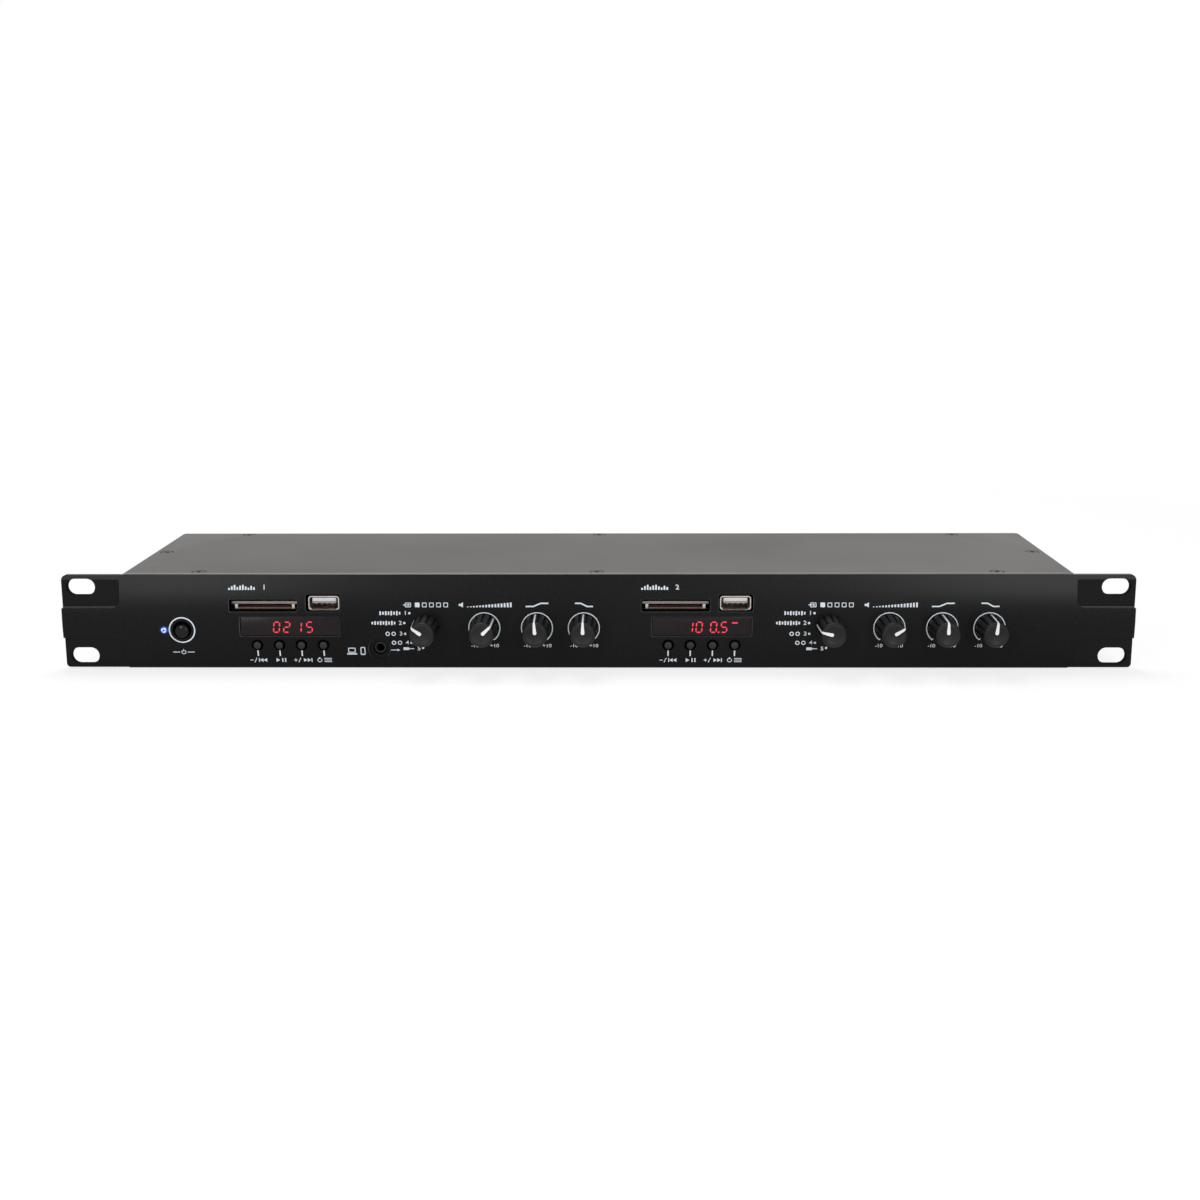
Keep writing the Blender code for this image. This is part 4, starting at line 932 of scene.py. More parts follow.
def source_label(x):
    marks = [outline(x - 0.0086, LABEL_Z, 0.0028, 0.0021, LINE, 0.0004)]
    marks.append(bar(x - 0.0095, LABEL_Z, 0.0026, LINE))
    marks.append(dot(x - 0.0083, LABEL_Z, 0.00062, 3, 90))
    for step in range(5):
        place = x - 0.0044 + step * 0.0032
        if step == 0:
            marks.append(bar(place, LABEL_Z, 0.0021, 0.0021, corner=0.0003))
        else:
            marks.append(outline(place, LABEL_Z, 0.0021, 0.0021, LINE, 0.0003))
    return marks


def volume_label(x):
    marks = [bar(x - 0.0113, LABEL_Z, 0.0009, 0.001), dot(x - 0.0105, LABEL_Z, 0.0013, 3, -90)]
    for step in range(15):
        height = 0.0003 + step * 0.00013
        marks.append(bar(x - 0.0077 + step * 0.00138, LABEL_Z - 0.00105 + height / 2, 0.0008,
                         height))
    return marks


def tone_label(x, width, way):
    """A shelf curve that rises or falls towards way: two levels joined by a slant."""
    third = width / 3
    high, low = LABEL_Z + 0.0007, LABEL_Z - 0.0007
    marks = [bar(x - third, low if way > 0 else high, third, 0.00062)]
    marks.append(bar(x + third, high if way > 0 else low, third, 0.00062))
    length = math.hypot(third, 0.0014) + 0.0003
    marks.append(bar(x, LABEL_Z, length, 0.00062, -way * math.degrees(math.atan2(0.0014, third))))
    return marks


for side in SIDES:
    marks = selector_marks(dials["source", side])
    for kind in ("volume", "treble", "bass"):
        marks += ring_marks(dials[kind, side])
    marks += source_label(dials["source", side].x + 0.0009)
    marks += volume_label(dials["volume", side].x + 0.0006)
    marks += tone_label(dials["treble", side].x + 0.0003, 0.0102, 1)
    marks += tone_label(dials["bass", side].x + 0.0003, 0.0081, -1)
    printed(marks, f"print_dials_{side}")

# %% [markdown]
# Beside the jack stand a computer, a telephone and an arrow towards the fifth place of the
# selector, for a lead from any such device.

# %% Jack marks
SCREEN_X, HANDSET_X, JACK_SIGN_Z = -0.1108, -0.1058, 0.0088
printed([outline(SCREEN_X, JACK_SIGN_Z - 0.0001, 0.0034, 0.0024, 0.0004, 0.0004),
         bar(SCREEN_X, 0.0069, 0.0046, 0.0006, corner=0.0002),
         outline(HANDSET_X, JACK_SIGN_Z - 0.0005, 0.0022, 0.0038, 0.0004, 0.0005),
         bar(HANDSET_X, 0.0069, 0.0007, 0.0003), bar(-0.0916, JACK_SIGN_Z, 0.0030, LINE),
         dot(-0.0897, JACK_SIGN_Z, 0.0007, 3, 90)], "print_jack")

# %% [markdown]
# ## Knobs
#
# The knobs are moulded in black plastic with a fine matt grain: a slightly tapered body with
# twelve narrow grooves, a broad chamfer and a front disc that is sunk by a tenth of a
# millimetre. One knob is turned about Y at the origin, its pointer up, and copied to the eight
# shafts with the turn that each shows.

# %% Knob body
KNOB_STEPS = 96
KNOB_FRONT = -0.01555
KNOB_FOOT = 0.00618
SHOULDER = -0.0133
TAPER = 0.00042


def knob_blank(grow, name):
    """The turned body. A little growth gives the tools for the pointer."""
    shape = [(0.0, KNOB_FRONT + 0.0001), (0.00405, KNOB_FRONT + 0.0001), (0.0042, KNOB_FRONT),
             (0.0044, KNOB_FRONT), (0.0048, -0.01539), (0.0052, -0.01508), (0.00552, -0.01463),
             (0.0057, -0.014), (0.00576, SHOULDER), (KNOB_FOOT, 0.0), (0.0, 0.0)]
    profile = [(max(0.0, radius + (grow if radius else 0.0)), y - (grow if y else 0.0))
               for radius, y in shape]
    return turned(profile, 0.0, 0.0, KNOB_STEPS, name)


knob = knob_blank(0.0, "knob")
lean = math.atan2(TAPER, -SHOULDER)
grooves = []
for step in range(12):
    groove = cylinder(0.00056, -0.0136, 0.001, 0.0, 0.0, 16)
    shaping(groove, "FACE")
    choose(groove, "FACE", lambda place, normal: normal.y < -0.9)
    drawn(0.0, -0.001, 0.0)
    bpy.ops.transform.resize(value=(0.35, 1.0, 0.35), center_override=(0.0, 0.0, 0.0))
    done()
    groove.rotation_euler = (lean, 0.0, 0.0)
    groove.location = (0.0, 0.0, KNOB_FOOT)
    settled(groove)
    groove.rotation_euler = (0.0, math.radians(30 * step + 15), 0.0)
    grooves.append(settled(groove))
carved(knob, grooves)
smooth(knob, 35)
print("knob faces:", len(knob.data.polygons))


def in_groove(place):
    """True below the tapered outline of the knob's side."""
    outline_radius = KNOB_FOOT - place.y * TAPER / SHOULDER
    return place.y > -0.0144 and math.hypot(place.x, place.z) < outline_radius - 0.00006


# %% [markdown]
# The pointer is white lacquer in a shallow groove: a drop with a round inner end, which
# narrows towards the rim, turns over it as a thin line and runs down the side. Its outline is
# drawn in front of the knob, extruded through it, and only what lies in a thin skin of the
# knob's own shape is kept. So it follows the chamfer and the taper exactly.

# %% Pointer
POINTER_SHEET = -0.017
pointer = bar(0.0, 0.002725, 0.0017, 0.00495)
pointer.location.y = POINTER_SHEET - SHEET_Y
settled(pointer, "pointer")
shaping(pointer, "EDGE")
choose(pointer, "EDGE", lambda middle, along: middle.z > 0.005)
bpy.ops.transform.resize(value=(0.98 / 1.7, 1.0, 1.0),
                         center_override=(0.0, POINTER_SHEET, 0.0052))
for rise, narrow in ((0.0004, 0.72), (0.0012, 0.97)):
    drawn(0.0, 0.0, rise)
    bpy.ops.transform.resize(value=(narrow, 1.0, 1.0), center_override=(0.0, POINTER_SHEET, 0.0))
bpy.ops.mesh.select_mode(type="VERT")
choose(pointer, "VERT", lambda place: place.z < 0.0004)
bpy.ops.mesh.bevel(offset=0.00083, segments=6, affect="VERTICES")
choose_all()
drawn(0.0, 0.0168, 0.0)
done()
tidy(pointer)
skin = knob_blank(0.00003, "skin")
carved(skin, [knob_blank(-0.0002, "core")])
carved(pointer, [skin], "INTERSECT")
smooth(pointer, 35)
print("pointer:", [round(v * 1000, 2) for v in pointer.dimensions], "mm")

# %% [markdown]
# Moulded ABS takes the grain of its mould, so its gloss is broken up evenly. The narrow
# grooves get a painted shade: a near black, dull copy of the same plastic. The lacquer is
# smooth and a little glossy. Both patterns are tied to real sizes, so they look alike on every
# knob.

# %% Knob finishes, and the eight copies
grained_abs = grained("grained_black_abs", "#171718", 0.45, "#121213", "#1c1c1d", 0.0004,
                      drift=0.02, depth=0.00002, strength=0.3, sheen=(0.38, 0.52),
                      Specular_IOR_Level=0.17)
# Painted shade: a near black, dull copy of the knob plastic, used in grooves and on hidden faces
# of caps, lens and jack.
shade_black_abs = grained("painted_shade_black_abs", "#0a0a0b", 0.7, "#070707", "#0e0e0f", 0.0004,
                     drift=0.02, Specular_IOR_Level=0.06)
lacquer = grained("white_lacquer", "#d4d4d4", 0.35, "#cecece", "#dadada", 0.0004, depth=0.000004)
share_out(knob, (grained_abs, shade_black_abs), lambda face: in_groove(face.center))
dress(pointer, lacquer)
POINTER_TURNS = {"source": (-55, -77), "volume": (46, 58), "treble": (-4, 0), "bass": (0, 6)}

for (kind, side), axis in dials.items():
    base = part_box(f"{kind}_knob_{side}")[1][1]
    turn = math.radians(POINTER_TURNS[kind][side - 1])
    body = placed_copy(knob, f"{kind}_knob_fine_{side}", (axis.x, base, axis.z), turn)
    mark = placed_copy(pointer, f"{kind}_pointer_{side}", (axis.x, base, axis.z), turn)
    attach(body, f"{kind}_dial_{side}")
    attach(mark, f"{kind}_dial_{side}")
    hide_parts(f"{kind}_knob_{side}")
discard(knob, pointer)
print("knobs:", len(dials))

# %% [markdown]
# ## Buttons, lamp and jack
#
# The transport buttons are small caps in round holes. The power button is a polished dome in
# a wider hole. All are turned profiles, so that their edges are truly round and the highlights
# run round them.

# %% Transport buttons
button_front, button_back = (corner[1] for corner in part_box("transport_button_1_1"))
tip = button_back - button_front
cap_shape = [(0.0, 0.0), (0.0009, 0.00002), (0.0014, 0.00011), (0.00162, 0.00026),
             (0.0017, 0.0005), (0.0017, tip - 0.0036), (0.003, tip - 0.0036),
             (0.003, tip - 0.0026), (0.0014, tip - 0.0026), (0.0014, tip), (0.0, tip)]
pattern = smooth(turned(cap_shape, 0.0, 0.0, 48, "button"), 40)
# Moulded in an etched tool, which leaves a fine matt skin with a soft grey shine.
button_abs = grained("matt_black_abs", "#1e1e1f", 0.45, "#19191a", "#242425", 0.00015,
                     strength=0.25, Specular_IOR_Level=0.22)
# Painted shade on the cap's faces behind the panel.
share_out(pattern, (button_abs, shade_black_abs), lambda face: face.center.y > 0.0006)
for (side, n), place in button_middle.items():
    cap = placed_copy(pattern, f"transport_cap_{side}_{n}", (place.x, button_front, place.z))
    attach(cap, f"button_{side}_{n}")
    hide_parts(f"transport_button_{side}_{n}")
discard(pattern)
print("buttons reach", round(tip * 1000, 2), "mm inwards")

# %% [markdown]
# The power button is polished: its mould was smooth, so the dome mirrors the lamps in two small
# bright patches. The profile's first eight points make the broad dome and its rolled edge. As
# in the photograph the dome sits a little low in its hole, so the whole profile is turned half
# a millimetre low and everything behind the panel is moved back up to its switch.

# %% Power button
power_low, power_high = corners("power_button")
POWER_SAG = 0.0005
tip = power_low.y
dome = [(0.0, tip), (0.0012, tip + 0.00003), (0.0019, tip + 0.0001), (0.0024, tip + 0.00021),
        (0.00275, tip + 0.0004), (0.003, tip + 0.00067), (0.00315, tip + 0.00105),
        (0.0032, tip + 0.0016), (0.0032, BACK - 0.001), (0.0032, BACK + 0.001),
        (0.0017, BACK + 0.001), (0.0017, power_high.y), (0.0, power_high.y)]
power_cap = turned(dome, power.x, power.z - POWER_SAG, 64, "power_cap")
shaping(power_cap, "FACE")
choose(power_cap, "FACE", lambda place, normal: place.y > BACK - 0.0002)
bpy.ops.transform.translate(value=(0.0, 0.0, POWER_SAG))
done()
smooth(power_cap, 40)
polished_abs = grained("polished_black_abs", "#0e0e0f", 0.16, "#0a0a0b", "#131314", 0.0008,
                       depth=0.000005, strength=0.1, Specular_IOR_Level=0.18)
# Painted shade on the cap's side and on all that lies behind its dome.
share_out(power_cap, (polished_abs, shade_black_abs), lambda face: face.center.y > tip + 0.0018)
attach(power_cap, "power_key")
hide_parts("power_button")
print("power cap stands", round((BACK - tip) * 1000, 1), "mm out of the panel's rear face")

# %% [markdown]
# The lamp is a small blue lens of clear epoxy over a lit die. Seen close, its cut front is a
# ring of bright facets. The front is turned in 24 flat sides, and a painted highlight on some
# of them gives that: a pale, faintly glowing copy of the epoxy.

# %% Lamp
lamp_low, lamp_high = corners("power_lamp")
LENS, FLANGE = 0.0017, 0.0023
front = lamp_low.y
lens_shape = [(0.0, front + 0.00022), (0.00055, front), (0.00115, front + 0.00022),
              (LENS, front + 0.0009), (LENS, BACK + 0.0018), (FLANGE, BACK + 0.0018),
              (FLANGE, BACK + 0.0028), (LENS, BACK + 0.0028), (LENS, lamp_high.y),
              (0.0, lamp_high.y)]
lens = turned(lens_shape, lamp.x, lamp.z, 24, "power_lens")
# Epoxy cast in a smooth cup: it mirrors a little, and glows faintly from the die behind.
blue = grained("blue_epoxy_lens", "#1e4fb4", 0.12, "#17409c", "#2a62cc", 0.0009, drift=0.004,
               Emission_Strength=0.25, Coat_Weight=0.5, Emission_Color=colour("#1c5ad8"))
# Painted highlight: the same epoxy made pale and faintly glowing, where a cut facet would send the
# lamps' light back.
facet_highlight = grained("painted_highlight_lens_facet", "#c9d2e2", 0.15, "#b4c4e4", "#e4ecfa", 0.0006, drift=0.004,
                Emission_Strength=0.25, Emission_Color=colour("#d4e0f6"))


def lens_finish(face):
    """1 for a painted highlight on three groups of facets, 2 for painted shade behind the panel.
    """
    offset = face.center - Vector((lamp.x, face.center.y, lamp.z))
    angle = math.degrees(math.atan2(offset.x, offset.z)) % 120
    if 0.0006 < offset.length < 0.00105 and face.center.y < front + 0.0004 and angle < 84:
        return 1
    return 2 * (face.center.y > front + 0.002)


share_out(lens, (blue, facet_highlight, shade_black_abs), lens_finish)
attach(lens, "player")
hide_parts("power_lamp")
print("lit facets:", sum(face.material_index == 1 for face in lens.data.polygons))

# %% [markdown]
# The jack socket shows a grey moulded collar in the spot face, with a thin dark gap round it
# and a bore. Deep down the bore sits a ring of contact metal, where hardly any light comes.

# %% Jack socket
jack_low, jack_high = corners("jack_socket")
nose = jack_low.y
nose_shape = [(0.0, nose + 0.013), (0.0018, nose + 0.013), (0.0018, nose + 0.0003),
              (0.00205, nose), (0.0024, nose), (0.0026, nose + 0.00022),
              (0.0026, nose + 0.0145), (0.0, nose + 0.0145)]
collar = smooth(turned(nose_shape, jack.x, jack.z, 64, "jack_collar"), 40)
housing = block((jack_low.x, BACK + 0.0018, jack_low.z), jack_high, "housing")
round_edges(housing, 0.0004, 2, runs_along(1))
carved(housing, [cylinder(0.0026, BACK, jack_high.y + 0.001, jack.x, jack.z, 64)])
socket_body = joined([collar, housing], "jack_socket_fine")
# Nylon moulded in a lightly grained tool: black with a dull grey shine.
moulded = grained("moulded_black_nylon", "#232324", 0.48, "#1d1d1e", "#2b2b2c", 0.0002,
                  drift=0.02, strength=0.25, Specular_IOR_Level=0.3)
# Painted shade on the walls of the bore.
share_out(socket_body, (moulded, shade_black_abs), lambda face: face.center.y > nose + 0.0002 and
          math.hypot(face.center.x - jack.x, face.center.z - jack.z) < 0.0019)
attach(socket_body, "player")
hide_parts("jack_socket")
ring_shape = [(0.0016, nose + 0.0106), (0.0018, nose + 0.0106), (0.0018, nose + 0.0116),
              (0.0016, nose + 0.0116), (0.0016, nose + 0.0106)]
contact_ring = smooth(turned(ring_shape, jack.x, jack.z, 48, "jack_contact"), 40)
# Turned or rolled steel, nickel plated: warm metal whose fine tool marks spread the shine.
nickel = grained("nickel_plated_steel", "#b9b4ac", 0.28, "#aaa59d", "#c6c1b9", 0.0006,
                 metallic=1.0, depth=0.000006, strength=0.25, sheen=(0.2, 0.36))
dress(contact_ring, nickel)
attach(contact_ring, "player")
print("jack socket faces:", len(socket_body.data.polygons))

# %% [markdown]
# ## Card and USB sockets
#
# Behind the wide opening lies a cage folded from nickel plated sheet. Its lid turns down into
# a lip that stands out at both sides, and two posts close its ends. Cards slide in over a brown
# board, where eight dark contact springs wait. A folded lid could be bent with a hinge of
# faces, but a sheet and a strip made one, with the edge of the fold rounded, are the same shape.

# %% Finishes of the sockets
# Paper and resin pressed hot into a board: brown, dull and a little uneven.
laminate = grained("brown_laminate", "#5f4636", 0.5, "#543d2f", "#6a4f3e", 0.0004, strength=0.25)
# Punched bronze springs, drawn nearly black, with little metal left to see.
dark_spring = grained("near_black_bronze", "#14100e", 0.5, "#0e0b09", "#1a1512", 0.0004,
                      metallic=0.3, depth=0.000005)
# Plated straight after rolling and folding: grey metal with a broad, soft shine.
dull_nickel = grained("dull_nickel_plate", "#7d7874", 0.38, "#716c68", "#8a8480", 0.0006,
                      metallic=1.0, drift=0.008, depth=0.000006, strength=0.25,
                      sheen=(0.32, 0.46))
# A copper spring worn by plugs: its plating is rubbed to a warm, half metallic pink.
copper_contact = grained("worn_contact_spring", "#a58270", 0.4, "#937260", "#b6927f", 0.0004,
                         metallic=0.6, drift=0.004, depth=0.000005)
# Painted shade and painted reflection: the inside of the plates drawn dull brown, for the shade
# there and the brown it would mirror.
inner_shade_plate = grained("painted_shade_inner_plate", "#6a4e40", 0.4, "#5a4135", "#7a5b4b", 0.0005,
                 metallic=0.5, depth=0.000005)
# Polished before it was plated, so the edges of the mouth shine sharply.
bright_nickel = grained("bright_nickel_plate", "#c4beb7", 0.2, "#b8b2ab", "#d0cac3", 0.0005,
                        metallic=1.0, depth=0.000004, sheen=(0.16, 0.3))
# Nylon from a smooth mould: an even white. The tongue's underside is the same nylon in a painted
# shade of grey.
white_nylon = grained("white_nylon", "#c6c8ca", 0.4, "#bec0c2", "#ced0d2", 0.0003, depth=0.000006)
underside_shade_nylon = grained("painted_shade_grey_nylon", "#8a8682", 0.45, "#7e7a76", "#96928e", 0.0003,
                     depth=0.000006)
print("finishes so far:", len(bpy.data.materials))


def darken_inside(thing, front, middle_x, middle_z):
    """Give the faces that look inwards, behind the mouth, the painted shade of the inner finish.
    """
    thing.data.materials.append(inner_shade_plate)
    for face in thing.data.polygons:
        inward = Vector((middle_x - face.center.x, 0.0, middle_z - face.center.z))
        if face.center.y > front + 0.0005 and inward.dot(face.normal) > 0.0001:
            face.material_index = 1


# %% Card cage
SPRINGS = 8
SPRING_PITCH = 0.00245
LID_RISE = 0.0006
LIP_HEIGHT = 0.0014


def card_cage(side):
    low, high = corners(f"card_socket_{side}")
    x = card_x[side]
    front, back = low.y, high.y
    top = high.z + LID_RISE
    lid = block((low.x, front, top - 0.0004), (high.x, back, top), "card_cage")
    strip = block((low.x, front, top - LIP_HEIGHT), (high.x, front + 0.0004, top - 0.0003), "lip")
    carved(lid, [strip], "UNION")
    round_edges(lid, 0.00015, 3, lambda m, a: runs_along(0)(m, a) and m.y < front + 0.0001)
    walls = block((x - 0.0135, front + 0.0002, low.z), (x + 0.0135, back - 0.0002, top - 0.0002),
                  "walls")
    carved(walls, [block((x - 0.0124, front - 0.001, low.z + 0.0003),
                         (x + 0.0124, front + 0.021, top - 0.0004))])
    posts = [block((x + min(way * 0.01215, way * 0.0137), front + 0.0002, low.z),
                   (x + max(way * 0.01215, way * 0.0137), front + 0.0011, top - 0.0003), "post")
             for way in (-1, 1)]
    for post in posts:
        round_edges(post, 0.00025, 3, lambda m, a: runs_along(2)(m, a) and m.y < front + 0.0003)
    carved(walls, posts, "UNION")
    carved(lid, [walls], "UNION")
    cage = smooth(lid, 35)
    cage.name = f"card_cage_{side}"
    dress(cage, dull_nickel)
    darken_inside(cage, front, x, (low.z + top) / 2)
    # Painted highlight: the faces below the lip that look towards the viewer, the posts' fronts,
    # get the brighter nickel.
    cage.data.materials.append(nickel)
    for face in cage.data.polygons:
        if face.normal.y < -0.3 and face.center.z < top - LIP_HEIGHT:
            face.material_index = 2
    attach(cage, "player")
    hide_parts(f"card_socket_{side}")

    deck = block((x - 0.0121, front, low.z + 0.00005),
                 (x + 0.0121, front + 0.0205, low.z + 0.00065), f"card_deck_{side}")
    round_edges(deck, 0.0001, 2, lambda m, a: runs_along(0)(m, a) and m.y < front + 0.0001)
    dress(deck, laminate)
    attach(deck, "player")
    springs = []
    for index in range(SPRINGS):
        place = x + (index - (SPRINGS - 1) / 2) * SPRING_PITCH
        spring = block((place - 0.0006, front + 0.005, low.z + 0.0006),
                       (place + 0.0006, front + 0.013, low.z + 0.0008), "spring")
        shaping(spring, "FACE")
        choose(spring, "FACE", lambda centre, normal: normal.y < -0.9)
        for step in ((0.0, -0.0012, 0.0007), (0.0, -0.0008, -0.0006)):
            drawn(*step)
        done()
        springs.append(spring)
    contacts = smooth(joined(springs, f"card_springs_{side}"), 30)
    dress(contacts, dark_spring)
    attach(contacts, "player")


for side in SIDES:
    card_cage(side)
print("card cages:", len(SIDES))

# %% [markdown]
# A USB shell is drawn from thin plate with rounded corners and a lip that flares at the mouth.
# It is a rounded block, hollowed by a second one, with the inner rim widened. The white tongue
# carries four contacts that bulge from its underside, and two pressed springs show in the
# lower wall, where the ends of the plate meet in a seam. The plate is bright at the mouth; its
# inside and the springs get a painted shade, a dull brown, and the tongue's underside a grey one.

# %% USB sockets
WALL = 0.0007
SHELL_DROP = 0.0006


def usb_socket(side):
    low, high = corners(f"usb_shell_{side}")
    low.z -= SHELL_DROP
    high.z -= SHELL_DROP
    x, middle_z = (low.x + high.x) / 2, (low.z + high.z) / 2
    wide, tall = high.x - low.x, high.z - low.z
    shell = slot_tool(x, middle_z, wide, tall, 0.0013, low.y, high.y, 6)
    shell.name = f"usb_mouth_{side}"
    width, height = wide - 2 * WALL, tall - 2 * WALL
    inside = (x, middle_z, width, height, 0.0009, low.y)
    carved(shell, [slot_tool(*inside[:5], low.y - 0.001, high.y - WALL, 6)])
    carved(shell, [rim_tool(*inside, 0.0003, 0.0, 6)])
    carved(shell, [block((x - 0.0001, low.y - 0.001, low.z - 0.001),
                         (x + 0.0001, high.y, low.z + WALL))])
    smooth(shell, 35)
    dress(shell, bright_nickel)
    darken_inside(shell, low.y, x, middle_z)
    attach(shell, "player")
    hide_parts(f"usb_shell_{side}")

    springs = []
    for way in (-1, 1):
        spring = block((x + way * 0.0033 - 0.0012, low.y + 0.0016, low.z + WALL),
                       (x + way * 0.0033 + 0.0012, low.y + 0.0066, low.z + WALL + 0.0003))
        shaping(spring, "FACE")
        choose(spring, "FACE", lambda centre, normal: normal.y < -0.9)
        drawn(0.0, -0.0007, -0.00022)
        done()
        springs.append(spring)
    pressed = smooth(joined(springs, f"usb_springs_{side}"), 30)
    # Painted shade on the pressed springs, the same dull brown as the inside of the shell.
    dress(pressed, inner_shade_plate)
    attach(pressed, "player")

    insert_low, insert_high = corners(f"usb_insert_{side}")
    foot = low.z + WALL + 0.0032
    tongue = block((x - 0.0054, insert_low.y, foot),
                   (x + 0.0054, insert_high.y - 0.0015, foot + 0.0018))
    round_edges(tongue, 0.0003, 3, lambda m, a: m.y < insert_low.y + 0.0001)
    heel = block((insert_low.x, insert_high.y - 0.003, insert_low.z), insert_high, "heel")
    carved(tongue, [heel], "UNION")
    tongue.name = f"usb_tongue_{side}"
    dress(smooth(tongue, 35), white_nylon)
    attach(tongue, "player")
    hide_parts(f"usb_insert_{side}")

    pads = []
    for place in (-0.0036, -0.0012, 0.0012, 0.0036):
        pad = block((x + place - 0.0006, insert_low.y + 0.0004, foot - 0.0016),
                    (x + place + 0.0006, insert_low.y + 0.0045, foot - 0.0006))
        round_edges(pad, 0.00075, 4, lambda m, a: runs_along(0)(m, a) and m.z < foot - 0.0012)
        pads.append(pad)
    contacts = smooth(joined(pads, f"usb_contacts_{side}"), 35)
    dress(contacts, copper_contact)
    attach(contacts, "player")
    shade = block((x - 0.0054, insert_low.y + 0.0002, foot - 0.00085),
                  (x + 0.0054, insert_high.y - 0.003, foot - 0.00002), f"usb_underside_{side}")
    round_edges(shade, 0.0001, 2, runs_along(0))
    # Painted shade: the grey nylon under the tongue.
    dress(shade, underside_shade_nylon)
    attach(shade, "player")


for side in SIDES:
    usb_socket(side)
print("USB sockets:", len(SIDES))

# %% [markdown]
# ## Displays
#
# A dark tinted window of acrylic covers each display, set half a millimetre into its opening.
# The lit digits are drawn as thin bars just on its surface, because a clear window would look
# black here too: the tint hides all that isn't lit. Each digit is made of up to seven bars.

# %% Windows
# Cast sheet with a fine matt face: nearly black, and no lamp is mirrored in it.
tinted = grained("tinted_acrylic", "#1b1619", 0.3, "#151013", "#1e191c", 0.0015, drift=0.03,
                 depth=0.000004, strength=0.1, Specular_IOR_Level=0.12)
for side in SIDES:
    low, high = corners(f"display_window_{side}")
    window = slot_tool((low.x + high.x) / 2, (low.z + high.z) / 2, high.x - low.x,
                       high.z - low.z, 0.0007, low.y, high.y, 6)
    round_edges(window, 0.00012, 2, lambda m, a: abs(m.y - low.y) < 0.00001)
    window.name = f"display_pane_{side}"
    dress(smooth(window, 35), tinted)
    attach(window, "player")
    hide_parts(f"display_window_{side}")
print("windows:", len(SIDES))

# %% [markdown]
# The bars lean by five degrees, as on most such displays. Every digit is a set of the seven
# usual bars: top, upper and lower right, foot, lower and upper left, and middle.

# %% Lit digits
# Epoxy bars lit from behind: an even red glow with no shine of their own.
lit_red = grained("lit_red_segment", "#b02030", 0.4, "#a41a2a", "#bc2636", 0.0004, drift=0.002,
                  depth=0.000002, strength=0.1, Emission_Strength=0.62,
                  Emission_Color=colour("#ff3448"))
BARS = {"0": "abcdef", "1": "bc", "2": "abged", "3": "abgcd", "4": "fgbc", "5": "afgcd",
        "6": "afgedc", "7": "abc", "8": "abcdefg", "9": "abcdfg"}
LEAN = 5
DIGIT_HEIGHT = 0.0052
BAR_LINE = 0.00054
FOOT_Z = 0.0169
DIGIT_WIDTH = 0.0031
window_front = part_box("display_window_1")[0][1]


def lit_bar(x, z, length, upright):
    """One bar, shifted by the lean of the whole digit."""
    x += (z - FOOT_Z) * math.tan(math.radians(LEAN))
    width, height = (BAR_LINE, length) if upright else (length, BAR_LINE)
    return bar(x, z, width, height, LEAN if upright else 0.0, BAR_LINE * 0.42)


def lit_digit(digit, left):
    half = BAR_LINE / 2
    upright = (DIGIT_HEIGHT - BAR_LINE) / 2 * 0.72
    flat = (DIGIT_WIDTH - BAR_LINE) * 0.72
    low, high = FOOT_Z + half, FOOT_Z + DIGIT_HEIGHT - half
    mid = (low + high) / 2
    left_x, mid_x, right_x = left + half, left + DIGIT_WIDTH / 2, left + DIGIT_WIDTH - half
    above, below = (mid + high) / 2, (mid + low) / 2
    places = {"a": (mid_x, high, flat, False), "b": (right_x, above, upright, True),
              "c": (right_x, below, upright, True), "d": (mid_x, low, flat, False),
              "e": (left_x, below, upright, True), "f": (left_x, above, upright, True),
              "g": (mid_x, mid, flat, False)}
    return [lit_bar(*places[letter]) for letter in BARS[digit]]


def lit_text(name, digits, signs=()):
    """Digits by their left ends, with any other signs that stand among them."""
    bars = [one for digit, left in digits for one in lit_digit(digit, left)]
    whole = joined([*bars, *(sign() for sign in signs)], name)
    whole.location.y = window_front - SHEET_Y
    settled(whole)
    layer = whole.modifiers.new("layer", "SOLIDIFY")
    layer.thickness = 0.00003
    layer.offset = 0.5
    pick(whole)
    bpy.ops.object.modifier_apply(modifier="layer")
    dress(whole, lit_red)
    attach(whole, "player")


lit_text("display_digits_1", zip("0215", (-0.1462, -0.1416, -0.1363, -0.1313)))
lit_text("display_digits_2", zip("1005", (0.0402, 0.0444, 0.0509, 0.0556)),
         (lambda: dot(0.0549, FOOT_Z + 0.0003, 0.0004, 16),
          lambda: bar(0.0622, FOOT_Z + 0.0046, 0.0026, 0.0006, corner=0.0002)))
print("digits lit on", len(SIDES), "displays")

# %% [markdown]
# ## Top cover
#
# The lid is a flat sheet of steel with rounded back corners, lying in the tray of the chassis
# just behind the panel. Its edges are broken a little, and eight countersunk screws hold it.
# The tray's own sheet shows round it only from behind.

# %% Cover sheet
cover_low, cover_high = corners("top_cover")
cover = block(cover_low, cover_high, "cover_sheet")
round_edges(cover, 0.002, 6, lambda m, a: runs_along(2)(m, a) and m.y > cover_high.y - 0.001)
round_edges(cover, 0.00025, 2, lambda m, a: abs(m.z - cover_high.z) < 0.00001)
SINK_RADIUS = 0.0033
SINK_DEPTH = 0.0012
screw_places = []
front_row, back_row = cover_low.y + 0.0037, cover_high.y - 0.0043
for way in (-1, 0, 1):
    screw_places += [(way * 0.1806, front_row), (way * 0.1795, back_row)]
for x in (-0.2085, 0.2085):
    screw_places.append((x, (cover_low.y + cover_high.y) / 2))
sinks = [added(bpy.ops.mesh.primitive_cone_add, "sink", vertices=48, radius1=0.0022,
               radius2=SINK_RADIUS, depth=SINK_DEPTH,
               location=(x, y, cover_high.z - SINK_DEPTH / 2 + 0.00005)) for x, y in screw_places]
